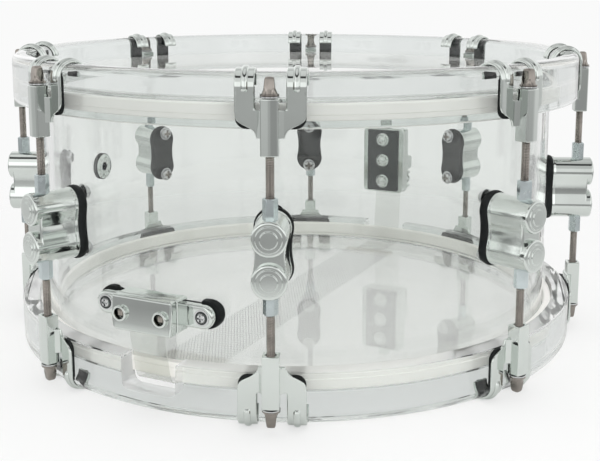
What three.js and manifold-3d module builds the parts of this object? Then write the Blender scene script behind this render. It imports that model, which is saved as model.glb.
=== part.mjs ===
// A 14 by 6.5 inch acrylic snare drum with claw-hook hoops, double-turret lugs and a lever strainer.
// Millimetres, +Z up along the drum's axis, z = 0 under the lower claws, a lug facing -Y.
import * as THREE from 'three';
import { mergeVertices } from 'three/addons/utils/BufferGeometryUtils.js';
import Module from 'manifold-3d';

const wasm = await Module();
wasm.setup();

// Fits shared by every piece
const SEAT_GAP = 0.3;
const RUNNING_GAP = 0.5;
const WELD = 1;
const MERGE_TOLERANCE = 1e-4;

// Facets of the round pieces
const DRUM_SIDES = 48;
const TURRET_SIDES = 14;
const SLEEVE_SIDES = 10;
const ROD_SIDES = 8;
const SCREW_SIDES = 6;
const BEND_STEPS = 2;

// Shell
const SHELL_DIAMETER = 355.6;
const SHELL_DEPTH = 166;
const SHELL_WALL = 6;
const EDGE_ROUND = 2.8;
const HOLE_CLEARANCE = 0.4;

// Drumheads
const FILM = 0.5;
const FLESH_CLEARANCE = 1.1;
const FLESH_WIDTH = 5.5;
const FLESH_HEIGHT = 10;
const COLLAR_DROP = 2.3;

// Acrylic hoops
const HOOP_WALL = 11.3;
const HOOP_LIP = 2.2;
const HOOP_HEIGHT = 30.5;
const HOOP_EASE = 1.5;
const RIM_RISE = 15;
const GATE_WIDTH = 42;
const GATE_CORNER = 5;
const GATE_MARGIN = 0.6;

// Stations around the drum, in degrees from -Y towards +X
const LUG_COUNT = 8;
const BUTT_ANGLE = -22.5;
const STRAINER_ANGLE = BUTT_ANGLE + 180;
const VENT_ANGLE = -110.5;

// Tension rods
const ROD_RADIUS = 2.5;
const ROD_FLANGE_RADIUS = 5.3;
const ROD_FLANGE = 1.6;
const ROD_BELL = 3.4;
const ROD_BELL_RADIUS = 4.2;
const ROD_KEY = 5.4;
const ROD_KEY_HEIGHT = 7;
const THREAD_ENGAGEMENT = 16;
const BORE_SPARE = 1.5;

// Claws
const CLAW_THICKNESS = 3;
const FORK_WIDTH = 11.6;
const FORK_SPACING = 27.2;
const FORK_LENGTH = 20.7;
const FORK_TIP = 2.4;
const FORK_TIP_DROP = 6;
const CLAW_BEND = 5;
const CLAW_SHOULDER = 4.4;
const CLAW_WEB_DROP = 14.4;
const CLAW_WEB_FOOT = 16.8;
const SLEEVE_RADIUS = 4.85;
const SLEEVE_BORE = 3.2;
const SLEEVE_LENGTH = 30.7;
const SLEEVE_DROP = 13;

// Lugs
const TURRET_RADIUS = 9.9;
const TURRET_SPACING = 23.4;
const TURRET_FACE_OUT = 11;
const LUG_WEB_WIDTH = 16.4;
const LUG_WEB_STEP = 4.6;
const GASKET = 5.8;
const GASKET_LIP = 2.1;
const GASKET_WAIST = 21.4;
const POST_FLATS = 7.4;
const POST_LENGTH = 10.8;
const LUG_SCREW_SPACING = 35;
const LUG_SCREW_RADIUS = 2.1;
const LUG_SCREW_HEAD_RADIUS = 4.3;
const LUG_SCREW_HEAD = 2.8;

// Snare wires and straps
const STRAND_COUNT = 20;
const STRAND_PITCH = 2.05;
const STRAND = 1.4;
const SNARE_LENGTH = 296;
const END_PLATE_WIDTH = 43;
const END_PLATE_LENGTH = 14;
const END_PLATE = 1;
const STRAP_WIDTH = 24;
const STRAP = 0.7;
const STRAP_BEND = 5;
const SNARE_DROP = 2.6;

// Butt end
const BUTT_HEIGHT = -41;
const BUTT_BLOCK_WIDTH = 41;
const BUTT_BLOCK_HEIGHT = 20;
const BUTT_BLOCK_DEPTH = 10;
const BUTT_GASKET = 3;
const BUTT_EAR_SPACING = 66;
const BUTT_EAR_RADIUS = 7;
const BUTT_EAR = 5;
const BUTT_GASKET_LIP = 2.4;
const BUTT_SCREW_RADIUS = 2.1;
const BUTT_SCREW_HEAD_RADIUS = 3.9;
const BUTT_SCREW_HEAD = 1.8;
const BUTT_NUT_RADIUS = 4.6;
const BUTT_NUT = 3.2;

// Clamp plates with two drum-key bolts
const CLAMP_DEPTH = 6;
const CLAMP_BOLT_SPACING = 30;
const CLAMP_RECESS_RADIUS = 4.2;
const CLAMP_RECESS = 3;
const CLAMP_KEY = 4.6;
const CLAMP_KEY_HEIGHT = 3.6;

// Strainer
const STRAINER_HEIGHT = -10.5;
const STRAINER_WIDTH = 38;
const STRAINER_LENGTH = 57;
const STRAINER_BACK = 6;
const STRAINER_CHEEK = 4;
const STRAINER_CHEEK_DEPTH = 8;
const STRAINER_EAR_LENGTH = 11;
const STRAINER_EAR_RISE = 3.5;
const STRAINER_BRIDGE = 4;
const SLIDE_DEPTH = 7;
const SLIDE_LENGTH = 33;
const STRAINER_CLAMP_WIDTH = 38;
const STRAINER_CLAMP_HEIGHT = 15;
const LEVER_PIVOT_RISE = -3.5;
const LEVER_PIVOT_OUT = 14.5;
const LEVER_HUB_RADIUS = 3.6;
const LEVER_PIN_RADIUS = 2;
const LEVER_REACH = 32;
const LEVER_PLATE = 3;
const LEVER_LEAN = 9;
const KNOB_RADIUS = 5.2;
const KNOB_HEIGHT = 7.5;
const KNOB_WAIST = 0.8;
const BACKING_WIDTH = 28.8;
const BACKING_LENGTH = 53.8;
const BACKING = 3;
const BACKING_BOLT_SPACING = 18.2;
const BACKING_BOLT_RADIUS = 2.6;
const BACKING_NUT_RADIUS = 5.9;
const BACKING_NUT = 4.6;

// Vent grommet
const VENT_BORE = 3.2;
const VENT_NECK = 7;
const VENT_FLANGE = 10;
const VENT_FLANGE_THICKNESS = 1.6;

// Radii and heights worked out from the driving dimensions, heights from the drum's middle plane
const shellOuter = SHELL_DIAMETER / 2;
const shellInner = shellOuter - SHELL_WALL;
const shellTop = SHELL_DEPTH / 2;
const edgeApex = shellOuter - EDGE_ROUND;
const bevelShift = Math.tan(Math.PI / 8);

const filmUnder = shellTop + SEAT_GAP;
const filmTop = filmUnder + FILM;
const fleshInner = shellOuter + FLESH_CLEARANCE;
const fleshOuter = fleshInner + FLESH_WIDTH;
const fleshTop = filmTop - COLLAR_DROP;
const fleshBottom = fleshTop - FLESH_HEIGHT;

const skirtInner = fleshOuter + SEAT_GAP;
const hoopOuter = skirtInner + HOOP_WALL;
const lipInner = skirtInner - HOOP_LIP;
const lipStep = fleshTop + SEAT_GAP;
const rimTop = filmTop + RIM_RISE;
const hoopBottom = rimTop - HOOP_HEIGHT;

const rodCircle = hoopOuter + RUNNING_GAP + ROD_FLANGE_RADIUS;
const sleeveTop = rimTop - SLEEVE_DROP;
const rodSeat = sleeveTop + SEAT_GAP;
const clawInner = hoopOuter + SEAT_GAP;
const clawOuter = clawInner + CLAW_THICKNESS;
const hookUnder = rimTop + SEAT_GAP;
const hookTop = hookUnder + CLAW_THICKNESS;

const lugTop = TURRET_SPACING / 2 + TURRET_RADIUS;
const postTip = lugTop + POST_LENGTH;
const rodTip = postTip - THREAD_ENGAGEMENT;
const lugFace = rodCircle + TURRET_FACE_OUT;
const gasketFront = shellOuter + GASKET;

const snareTop = -(filmTop + SEAT_GAP);
const strapTop = snareTop - STRAND / 2 + END_PLATE / 2;
const strapUnder = strapTop - STRAP;
const gateFloor = strapUnder - SNARE_DROP - GATE_MARGIN;

const buttBase = shellOuter + BUTT_GASKET + SEAT_GAP;
const buttFace = buttBase + BUTT_BLOCK_DEPTH;
const slideBack = shellOuter + STRAINER_BACK + SEAT_GAP;
const slideFace = slideBack + SLIDE_DEPTH;

const radians = THREE.MathUtils.degToRad;

// The distance from the axis of a round wall to a point on it that lies halfWidth off the station's middle.
function chord(radius, halfWidth) {
  return Math.sqrt(radius * radius - halfWidth * halfWidth);
}

// Where a flat face seats inside a faceted round wall, with its edges a seat gap clear of the facets.
function insideSeat(radius, halfWidth) {
  const facetSag = radius * (1 - Math.cos(Math.PI / DRUM_SIDES));
  return chord(radius, halfWidth) - facetSag - SEAT_GAP;
}

// Solids

function solidOf(geometry) {
  const bare = geometry.index ? geometry.toNonIndexed() : geometry.clone();
  bare.deleteAttribute('normal');
  bare.deleteAttribute('uv');
  const merged = mergeVertices(bare, MERGE_TOLERANCE);
  const mesh = new wasm.Mesh({
    numProp: 3,
    vertProperties: merged.attributes.position.array,
    triVerts: new Uint32Array(merged.index.array),
  });
  return new wasm.Manifold(mesh);
}

function geometryOf(solid) {
  const mesh = solid.getMesh();
  const positions = new Float32Array(mesh.numVert * 3);
  for (let vertex = 0; vertex < mesh.numVert; vertex += 1) {
    for (let axis = 0; axis < 3; axis += 1) {
      positions[vertex * 3 + axis] = mesh.vertProperties[vertex * mesh.numProp + axis];
    }
  }
  const geometry = new THREE.BufferGeometry();
  geometry.setAttribute('position', new THREE.BufferAttribute(positions, 3));
  geometry.setIndex(new THREE.BufferAttribute(new Uint32Array(mesh.triVerts), 1));
  geometry.computeVertexNormals();
  return geometry;
}

function joined(solids) {
  return solids.reduce((whole, solid) => whole.add(solid));
}

function cut(solid, tools) {
  return tools.reduce((whole, tool) => whole.subtract(tool), solid);
}

// A profile of [radius, height] points turned about the drum's axis; a ring closes on itself.
function turned(profile, sides) {
  const points = profile.map(([radius, height]) => new THREE.Vector2(radius, height));
  if (THREE.ShapeUtils.isClockWise(points)) {
    points.reverse();
  }
  const onAxis = profile.filter(([radius]) => radius === 0).length;
  if (onAxis === 0) {
    points.push(points[0].clone());
  } else {
    const start = points.findIndex((point, index) => {
      const before = points[(index + points.length - 1) % points.length];
      return point.x === 0 && before.x === 0;
    });
    points.push(...points.splice(0, start));
  }
  const geometry = new THREE.LatheGeometry(points, sides);
  geometry.rotateX(Math.PI / 2);
  return solidOf(geometry);
}

// Pieces of one station are drawn with x along the rim, -y outwards and z up.
// A block from x0 to x1, from radius r0 to r1 and from height z0 to z1.
function block(x0, x1, r0, r1, z0, z1) {
  const geometry = new THREE.BoxGeometry(x1 - x0, r1 - r0, z1 - z0);
  geometry.translate((x0 + x1) / 2, -(r0 + r1) / 2, (z0 + z1) / 2);
  return solidOf(geometry);
}

// An upright round or polygonal bar on the radius r.
function upright(radius, sides, r, z0, z1) {
  const geometry = new THREE.CylinderGeometry(radius, radius, z1 - z0, sides);
  geometry.rotateX(Math.PI / 2);
  geometry.translate(0, -r, (z0 + z1) / 2);
  return solidOf(geometry);
}

// A round bar that points outwards from radius r0 to r1, at x and height z.
function spoke(radius, sides, r0, r1, x, z) {
  const geometry = new THREE.CylinderGeometry(radius, radius, r1 - r0, sides);
  geometry.translate(x, -(r0 + r1) / 2, z);
  return solidOf(geometry);
}

// A round bar along x at radius r and height z.
function axle(radius, sides, halfWidth, r, z) {
  const geometry = new THREE.CylinderGeometry(radius, radius, halfWidth * 2, sides);
  geometry.rotateZ(Math.PI / 2);
  geometry.translate(0, -r, z);
  return solidOf(geometry);
}

// A side outline in radius and height, as wide as asked, centred on x.
function across(shape, width, x = 0) {
  const geometry = new THREE.ExtrudeGeometry(shape, {
    depth: width,
    bevelEnabled: false,
    curveSegments: BEND_STEPS,
  });
  geometry.translate(0, 0, -width / 2);
  const basis = new THREE.Matrix4().makeBasis(
    new THREE.Vector3(0, -1, 0),
    new THREE.Vector3(0, 0, 1),
    new THREE.Vector3(-1, 0, 0),
  );
  geometry.applyMatrix4(basis);
  geometry.translate(x, 0, 0);
  return solidOf(geometry);
}

// A front outline in x and height, from radius r0 to r1.
function plate(shape, r0, r1) {
  const geometry = new THREE.ExtrudeGeometry(shape, {
    depth: r1 - r0,
    bevelEnabled: false,
    curveSegments: BEND_STEPS,
  });
  geometry.rotateX(Math.PI / 2);
  geometry.translate(0, -r0, 0);
  return solidOf(geometry);
}

// The space that the shell fills, with a seat gap around it, for pieces that lie on the shell.
function shellSeat() {
  const radius = shellOuter + SEAT_GAP;
  return upright(radius, DRUM_SIDES, 0, -SHELL_DEPTH, SHELL_DEPTH);
}

// Turns a solid drawn at the front to its station.
function atStation(solid, angle) {
  const matrix = new THREE.Matrix4().makeRotationZ(radians(angle));
  return solidOf(geometryOf(solid).applyMatrix4(matrix));
}

// Shell, drumheads and hoops

const lugAngles = Array.from({ length: LUG_COUNT }, (_, index) => (360 / LUG_COUNT) * index);
const backingBoltHeights = [-1, 0, 1].map((step) => STRAINER_HEIGHT + step * BACKING_BOLT_SPACING);

function shellSolid() {
  const half = [
    [shellOuter, shellTop - EDGE_ROUND],
    [edgeApex, shellTop],
    [shellInner, shellTop - (edgeApex - shellInner)],
  ];
  const lower = half.map(([radius, height]) => [radius, -height]).reverse();
  const wall = turned([...half, ...lower], DRUM_SIDES);
  const drill = (radius, x, z, angle, sides = SCREW_SIDES) => {
    const reach = 3 * SHELL_WALL;
    return atStation(spoke(radius, sides, shellInner - reach, shellOuter + reach, x, z), angle);
  };
  const lugHoles = lugAngles.flatMap((angle) => [-1, 1].map((end) => {
    return drill(LUG_SCREW_RADIUS + HOLE_CLEARANCE, 0, (end * LUG_SCREW_SPACING) / 2, angle);
  }));
  const buttHoles = [-1, 1].map((end) => {
    return drill(BUTT_SCREW_RADIUS + HOLE_CLEARANCE, (end * BUTT_EAR_SPACING) / 2, BUTT_HEIGHT, BUTT_ANGLE);
  });
  const strainerHoles = backingBoltHeights.map((height) => {
    return drill(BACKING_BOLT_RADIUS + HOLE_CLEARANCE, 0, height, STRAINER_ANGLE);
  });
  const ventHole = drill(VENT_NECK + HOLE_CLEARANCE, 0, 0, VENT_ANGLE, TURRET_SIDES);
  return cut(wall, [...lugHoles, ...buttHoles, ...strainerHoles, ventHole]);
}

// A film that lies on the bearing edge, slopes over it and is held in a flesh hoop outside the shell.
function headSolid() {
  const bendUnder = edgeApex + SEAT_GAP * bevelShift;
  const bendTop = bendUnder + FILM * bevelShift;
  return turned([
    [0, filmUnder],
    [bendUnder, filmUnder],
    [fleshInner, filmUnder - (fleshInner - bendUnder)],
    [fleshInner, fleshBottom],
    [fleshOuter, fleshBottom],
    [fleshOuter, fleshTop],
    [bendTop + COLLAR_DROP, fleshTop],
    [bendTop, filmTop],
    [0, filmTop],
  ], DRUM_SIDES);
}

// A clear hoop whose inner lip presses on the flesh hoop and whose skirt surrounds it.
function hoopSolid() {
  return turned([
    [skirtInner, hoopBottom],
    [hoopOuter - HOOP_EASE, hoopBottom],
    [hoopOuter, hoopBottom + HOOP_EASE],
    [hoopOuter, rimTop - HOOP_EASE],
    [hoopOuter - HOOP_EASE, rimTop],
    [lipInner + HOOP_EASE, rimTop],
    [lipInner, rimTop - HOOP_EASE],
    [lipInner, lipStep],
    [skirtInner, lipStep],
  ], DRUM_SIDES);
}

// The lower hoop has a round-cornered notch at each end of the snare for its strap.
function gatedHoopSolid() {
  const floor = -gateFloor;
  const half = GATE_WIDTH / 2;
  const outline = new THREE.Shape();
  outline.moveTo(-half, hoopBottom - WELD);
  outline.lineTo(half, hoopBottom - WELD);
  outline.lineTo(half, floor - GATE_CORNER);
  outline.absarc(half - GATE_CORNER, floor - GATE_CORNER, GATE_CORNER, 0, Math.PI / 2);
  outline.absarc(GATE_CORNER - half, floor - GATE_CORNER, GATE_CORNER, Math.PI / 2, Math.PI);
  const notch = plate(outline, chord(lipInner, half) - WELD, hoopOuter + WELD);
  const stations = [BUTT_ANGLE, STRAINER_ANGLE].map((angle) => atStation(notch, flippedAngle(angle)));
  return cut(hoopSolid(), stations);
}

// A piece turned over about the front station's outward axis meets this angle from the other side.
function flippedAngle(angle) {
  return -angle;
}

// Lugs, claws and tension rods

function lugSolid() {
  const turrets = [-1, 1].map((end) => (end * TURRET_SPACING) / 2);
  const lobes = (radius, waist, r0, r1, webFace) => joined([
    ...turrets.map((height) => spoke(radius, TURRET_SIDES, r0, r1, 0, height)),
    block(-waist / 2, waist / 2, r0, webFace, turrets[0], turrets[1]),
  ]);
  const body = lobes(TURRET_RADIUS, LUG_WEB_WIDTH, gasketFront - WELD, lugFace, lugFace - LUG_WEB_STEP);
  const gasket = lobes(TURRET_RADIUS + GASKET_LIP, GASKET_WAIST, shellInner, gasketFront, gasketFront);
  const hexRadius = POST_FLATS / Math.sqrt(3);
  const posts = [-1, 1].map((end) => {
    const ends = [end * turrets[1], end * postTip].sort((low, high) => low - high);
    return upright(hexRadius, 6, rodCircle, ends[0], ends[1]);
  });
  const bores = [-1, 1].map((end) => {
    const ends = [end * (rodTip - BORE_SPARE), end * (postTip + WELD)].sort((low, high) => low - high);
    return upright(ROD_RADIUS + RUNNING_GAP, ROD_SIDES, rodCircle, ends[0], ends[1]);
  });
  const casting = cut(joined([gasket, body, ...posts]), [shellSeat(), ...bores]);
  const headFace = insideSeat(shellInner, LUG_SCREW_HEAD_RADIUS);
  const screws = [-1, 1].flatMap((end) => {
    const height = (end * LUG_SCREW_SPACING) / 2;
    return [
      spoke(LUG_SCREW_RADIUS, SCREW_SIDES, headFace - WELD, gasketFront, 0, height),
      spoke(LUG_SCREW_HEAD_RADIUS, SCREW_SIDES, headFace - LUG_SCREW_HEAD, headFace, 0, height),
    ];
  });
  return joined([casting, ...screws]);
}

// Two hooked forks over the rim, a tapering web below them and a sleeve that guides the rod.
function clawSolid() {
  const forkMiddle = FORK_SPACING / 2;
  const forkEdge = forkMiddle + FORK_WIDTH / 2;
  const slotFloor = rimTop - FORK_LENGTH;
  const tipOuter = insideSeat(lipInner, forkEdge);
  const tipInner = tipOuter - FORK_TIP;
  const tipBottom = rimTop - FORK_TIP_DROP;
  const tipBend = CLAW_BEND / 2;
  const hook = new THREE.Shape();
  hook.moveTo(clawInner, slotFloor - WELD);
  hook.lineTo(clawOuter, slotFloor - WELD);
  hook.lineTo(clawOuter, hookTop - CLAW_BEND);
  hook.absarc(clawOuter - CLAW_BEND, hookTop - CLAW_BEND, CLAW_BEND, 0, Math.PI / 2);
  hook.absarc(tipInner + tipBend, hookTop - tipBend, tipBend, Math.PI / 2, Math.PI);
  hook.lineTo(tipInner, tipBottom);
  hook.lineTo(tipOuter, tipBottom);
  hook.lineTo(tipOuter, hookUnder);
  hook.lineTo(clawInner, hookUnder);
  const shoulder = slotFloor - CLAW_SHOULDER;
  const webFloor = slotFloor - CLAW_WEB_DROP;
  const footEdge = CLAW_WEB_FOOT / 2;
  const web = new THREE.Shape();
  web.moveTo(-footEdge, webFloor);
  web.lineTo(footEdge, webFloor);
  web.bezierCurveTo(footEdge, shoulder, forkEdge, shoulder, forkEdge, slotFloor);
  web.lineTo(-forkEdge, slotFloor);
  web.bezierCurveTo(-forkEdge, shoulder, -footEdge, shoulder, -footEdge, webFloor);
  const sleeveBottom = sleeveTop - SLEEVE_LENGTH;
  const body = joined([
    across(hook, FORK_WIDTH, -forkMiddle),
    across(hook, FORK_WIDTH, forkMiddle),
    plate(web, clawInner, clawOuter),
    upright(SLEEVE_RADIUS, SLEEVE_SIDES, rodCircle, sleeveBottom, sleeveTop),
  ]);
  return cut(body, [upright(SLEEVE_BORE, ROD_SIDES, rodCircle, sleeveBottom - WELD, sleeveTop + WELD)]);
}

// A rod with a flange that sits on the sleeve, a bell above it and a square key head.
function rodSolid() {
  const flangeTop = rodSeat + ROD_FLANGE;
  const bellTop = flangeTop + ROD_BELL;
  const half = ROD_KEY / 2;
  const stem = turned([
    [0, rodTip],
    [ROD_RADIUS, rodTip],
    [ROD_RADIUS, rodSeat],
    [ROD_FLANGE_RADIUS, rodSeat],
    [ROD_FLANGE_RADIUS, flangeTop],
    [ROD_BELL_RADIUS, flangeTop],
    [half, bellTop],
    [0, bellTop],
  ], ROD_SIDES);
  const key = block(-half, half, -half, half, bellTop - WELD, bellTop + ROD_KEY_HEIGHT);
  const geometry = geometryOf(stem.add(key));
  geometry.translate(0, -rodCircle, 0);
  return solidOf(geometry);
}

// Snare wires and straps

function snareSolid() {
  const end = SNARE_LENGTH / 2;
  const inner = end - END_PLATE_LENGTH;
  const reach = end - END_PLATE_LENGTH / 2;
  const halfPlate = END_PLATE_WIDTH / 2;
  const strands = Array.from({ length: STRAND_COUNT }, (_, index) => {
    const x = (index - (STRAND_COUNT - 1) / 2) * STRAND_PITCH;
    return block(x - STRAND / 2, x + STRAND / 2, -reach, reach, snareTop - STRAND, snareTop);
  });
  const plates = [[-end, -inner], [inner, end]].map(([r0, r1]) => {
    return block(-halfPlate, halfPlate, r0, r1, strapTop - END_PLATE, strapTop);
  });
  return joined([...plates, ...strands]);
}

// A flat strap from the snare's end plate out under the drumhead, round through the gate and up to a clamp.
function strapSolid(clampRadius, clampTop, clampBottom) {
  const middle = strapTop - STRAP / 2;
  const bendRadius = fleshOuter + RUNNING_GAP + STRAP;
  const path = [
    [SNARE_LENGTH / 2 + SEAT_GAP, middle],
    [bendRadius - STRAP_BEND, middle],
    [bendRadius, middle + STRAP_BEND / 3],
    [bendRadius + STRAP_BEND / 3, middle + STRAP_BEND],
    [clampRadius, clampBottom - STRAP_BEND],
    [clampRadius, clampTop],
  ].map(([radius, height]) => new THREE.Vector2(radius, height));
  const normals = path.map((point, index) => {
    const before = path[Math.max(index - 1, 0)];
    const after = path[Math.min(index + 1, path.length - 1)];
    const along = after.clone().sub(before).normalize();
    return new THREE.Vector2(-along.y, along.x);
  });
  const side = (sign) => path.map((point, index) => {
    return point.clone().addScaledVector(normals[index], (sign * STRAP) / 2);
  });
  const outline = new THREE.Shape([...side(-1), ...side(1).reverse()]);
  return across(outline, STRAP_WIDTH);
}

// A clamp plate with two recessed square-headed bolts.
function clampSolid(width, height, back, middle) {
  const face = back + CLAMP_DEPTH;
  const halfKey = CLAMP_KEY / 2;
  const bolts = [-1, 1].map((end) => (end * CLAMP_BOLT_SPACING) / 2);
  const body = block(-width / 2, width / 2, back, face, middle - height / 2, middle + height / 2);
  const recesses = bolts.map((x) => {
    return spoke(CLAMP_RECESS_RADIUS, TURRET_SIDES, face - CLAMP_RECESS, face + WELD, x, middle);
  });
  const keys = bolts.map((x) => {
    const foot = face - CLAMP_RECESS - WELD;
    const top = face - CLAMP_RECESS + CLAMP_KEY_HEIGHT;
    return block(x - halfKey, x + halfKey, foot, top, middle - halfKey, middle + halfKey);
  });
  return joined([cut(body, recesses), ...keys]);
}

// Butt end

const buttEars = [-1, 1].map((end) => (end * BUTT_EAR_SPACING) / 2);

function buttOutline(lip, r0, r1) {
  const halfBlock = BUTT_BLOCK_HEIGHT / 2;
  const radius = BUTT_EAR_RADIUS + lip;
  return joined([
    ...buttEars.map((x) => spoke(radius, TURRET_SIDES, r0, r1, x, BUTT_HEIGHT)),
    block(buttEars[0], buttEars[1], r0, r1, BUTT_HEIGHT - radius, BUTT_HEIGHT + radius),
    block(-BUTT_BLOCK_WIDTH / 2, BUTT_BLOCK_WIDTH / 2, r0, r1, BUTT_HEIGHT - halfBlock, BUTT_HEIGHT + halfBlock),
  ]);
}

function buttGasketSolid() {
  const holes = buttEars.map((x) => {
    const radius = BUTT_SCREW_RADIUS + HOLE_CLEARANCE;
    return spoke(radius, SCREW_SIDES, shellInner - SHELL_WALL, buttBase + WELD, x, BUTT_HEIGHT);
  });
  const pad = buttOutline(BUTT_GASKET_LIP, shellInner, buttBase - SEAT_GAP);
  return cut(pad, [shellSeat(), ...holes]);
}

function buttBaseSolid() {
  const earFace = buttBase + BUTT_EAR;
  const halfWidth = BUTT_BLOCK_WIDTH / 2;
  const halfHeight = BUTT_BLOCK_HEIGHT / 2;
  const middle = block(-halfWidth, halfWidth, buttBase, buttFace, BUTT_HEIGHT - halfHeight, BUTT_HEIGHT + halfHeight);
  const nutFace = insideSeat(shellInner, BUTT_EAR_SPACING / 2 + BUTT_NUT_RADIUS);
  const screws = buttEars.flatMap((x) => [
    spoke(BUTT_SCREW_RADIUS, SCREW_SIDES, nutFace - WELD, earFace, x, BUTT_HEIGHT),
    spoke(BUTT_SCREW_HEAD_RADIUS, TURRET_SIDES, earFace - WELD, earFace + BUTT_SCREW_HEAD, x, BUTT_HEIGHT),
    spoke(BUTT_NUT_RADIUS, 6, nutFace - BUTT_NUT, nutFace, x, BUTT_HEIGHT),
  ]);
  return joined([buttOutline(0, buttBase, earFace), middle, ...screws]);
}

// Strainer

const strainerTop = STRAINER_HEIGHT + STRAINER_LENGTH / 2;
const strainerBottom = STRAINER_HEIGHT - STRAINER_LENGTH / 2;
const cheekInner = STRAINER_WIDTH / 2 - STRAINER_CHEEK;
const leverPivotRadius = slideBack + LEVER_PIVOT_OUT;
const leverPivotHeight = STRAINER_HEIGHT + LEVER_PIVOT_RISE;
const slideTop = strainerBottom + SLIDE_LENGTH + SNARE_DROP;
const knobRadius = slideBack + SLIDE_DEPTH / 2;

function backingSolid() {
  const face = insideSeat(shellInner, BACKING_WIDTH / 2);
  const half = BACKING_WIDTH / 2;
  const low = STRAINER_HEIGHT - BACKING_LENGTH / 2;
  const slab = block(-half, half, face - BACKING, face, low, low + BACKING_LENGTH);
  const bolts = backingBoltHeights.flatMap((height) => [
    spoke(BACKING_BOLT_RADIUS, SCREW_SIDES, face - WELD, shellOuter, 0, height),
    spoke(BACKING_NUT_RADIUS, TURRET_SIDES, face - BACKING - BACKING_NUT, face - BACKING + WELD, 0, height),
  ]);
  return joined([slab, ...bolts]);
}

// A channel that the slide runs in, with two ears for the lever and a bridge under the knob.
function strainerBaseSolid() {
  const half = STRAINER_WIDTH / 2;
  const back = shellOuter + STRAINER_BACK;
  const cheekFace = back + STRAINER_CHEEK_DEPTH;
  const earFoot = leverPivotHeight - STRAINER_EAR_LENGTH / 2;
  const earHead = leverPivotHeight + STRAINER_EAR_LENGTH / 2;
  const earFace = leverPivotRadius + STRAINER_EAR_RISE;
  const cheeks = [-1, 1].flatMap((end) => {
    const sides = [end * cheekInner, end * half].sort((low, high) => low - high);
    return [
      block(sides[0], sides[1], back - WELD, cheekFace, strainerBottom, strainerTop),
      block(sides[0], sides[1], back - WELD, earFace, earFoot, earHead),
    ];
  });
  const bridge = block(-half, half, back - WELD, cheekFace, strainerTop - STRAINER_BRIDGE, strainerTop);
  const slab = block(-half, half, shellInner, back, strainerBottom, strainerTop);
  const pinHole = axle(LEVER_PIN_RADIUS + SEAT_GAP, ROD_SIDES, STRAINER_WIDTH, leverPivotRadius, leverPivotHeight);
  return cut(joined([slab, bridge, ...cheeks]), [shellSeat(), pinHole]);
}

function slideSolid() {
  const half = cheekInner - RUNNING_GAP;
  return block(-half, half, slideBack, slideFace, slideTop - SLIDE_LENGTH, slideTop);
}

// A hub on a pin and a flat lever that stands up along the strainer and leans outwards.
function leverSolid() {
  const half = cheekInner - RUNNING_GAP;
  const leverTop = leverPivotHeight + LEVER_REACH;
  const plateBack = leverPivotRadius;
  const plateFace = plateBack + LEVER_PLATE;
  const outline = new THREE.Shape();
  outline.moveTo(plateBack, leverPivotHeight);
  outline.lineTo(plateFace, leverPivotHeight);
  outline.lineTo(plateFace + LEVER_LEAN, leverTop);
  outline.lineTo(plateBack + LEVER_LEAN, leverTop);
  return joined([
    across(outline, half * 2),
    axle(LEVER_HUB_RADIUS, TURRET_SIDES, half, leverPivotRadius, leverPivotHeight),
    axle(LEVER_PIN_RADIUS, ROD_SIDES, STRAINER_WIDTH / 2, leverPivotRadius, leverPivotHeight),
  ]);
}

// A waisted thumb knob on the strainer's bridge.
function knobSolid() {
  const foot = strainerTop + SEAT_GAP;
  const top = foot + KNOB_HEIGHT;
  const waist = KNOB_RADIUS - KNOB_WAIST;
  const knob = turned([
    [0, foot],
    [waist, foot],
    [KNOB_RADIUS, foot + KNOB_WAIST],
    [KNOB_RADIUS, top - KNOB_WAIST],
    [waist, top],
    [0, top],
  ], TURRET_SIDES);
  return solidOf(geometryOf(knob).translate(0, -knobRadius, 0));
}

// A flanged ring through the shell wall.
function ventSolid() {
  const outerSeat = shellOuter + SEAT_GAP;
  const innerSeat = insideSeat(shellInner, VENT_FLANGE);
  const ring = turned([
    [VENT_BORE, innerSeat - VENT_FLANGE_THICKNESS],
    [VENT_FLANGE, innerSeat - VENT_FLANGE_THICKNESS],
    [VENT_FLANGE, innerSeat],
    [VENT_NECK, innerSeat],
    [VENT_NECK, outerSeat],
    [VENT_FLANGE, outerSeat],
    [VENT_FLANGE, outerSeat + VENT_FLANGE_THICKNESS],
    [VENT_BORE, outerSeat + VENT_FLANGE_THICKNESS],
  ], TURRET_SIDES);
  return solidOf(geometryOf(ring).rotateX(Math.PI / 2));
}

// Finishes

const finishes = {
  acrylic: { color: 0xdde2df, roughness: 0.05, metalness: 0 },
  film: { color: 0xe6e8e6, roughness: 0.08, metalness: 0 },
  chrome: { color: 0xb4b7b8, roughness: 0.12, metalness: 1 },
  rodSteel: { color: 0x6b645c, roughness: 0.3, metalness: 1 },
  rubber: { color: 0x1e2121, roughness: 0.7, metalness: 0 },
  blackPlate: { color: 0x454b4a, roughness: 0.5, metalness: 0 },
  snareSteel: { color: 0xc2c5c6, roughness: 0.25, metalness: 1 },
  strap: { color: 0xd2d5d1, roughness: 0.35, metalness: 0 },
};

function piece(name, solid, finish) {
  const mesh = new THREE.Mesh(geometryOf(solid), new THREE.MeshStandardMaterial(finishes[finish]));
  mesh.name = name;
  return mesh;
}

// A group at a station's angle; a flipped one serves the snare side.
function station(angle, flipped = false) {
  const group = new THREE.Group();
  group.rotation.order = 'ZYX';
  group.rotation.z = radians(angle);
  group.rotation.y = flipped ? Math.PI : 0;
  return group;
}

// Assembly

const drum = new THREE.Group();
drum.position.z = hookTop;

const batterSide = station(0);
batterSide.add(
  piece('batter_hoop', hoopSolid(), 'acrylic'),
  piece('batter_head', headSolid(), 'film'),
);
const snareSide = station(0, true);
snareSide.add(
  piece('snare_side_hoop', gatedHoopSolid(), 'acrylic'),
  piece('snare_side_head', headSolid(), 'film'),
);
drum.add(piece('shell', shellSolid(), 'acrylic'), batterSide, snareSide);

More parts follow.
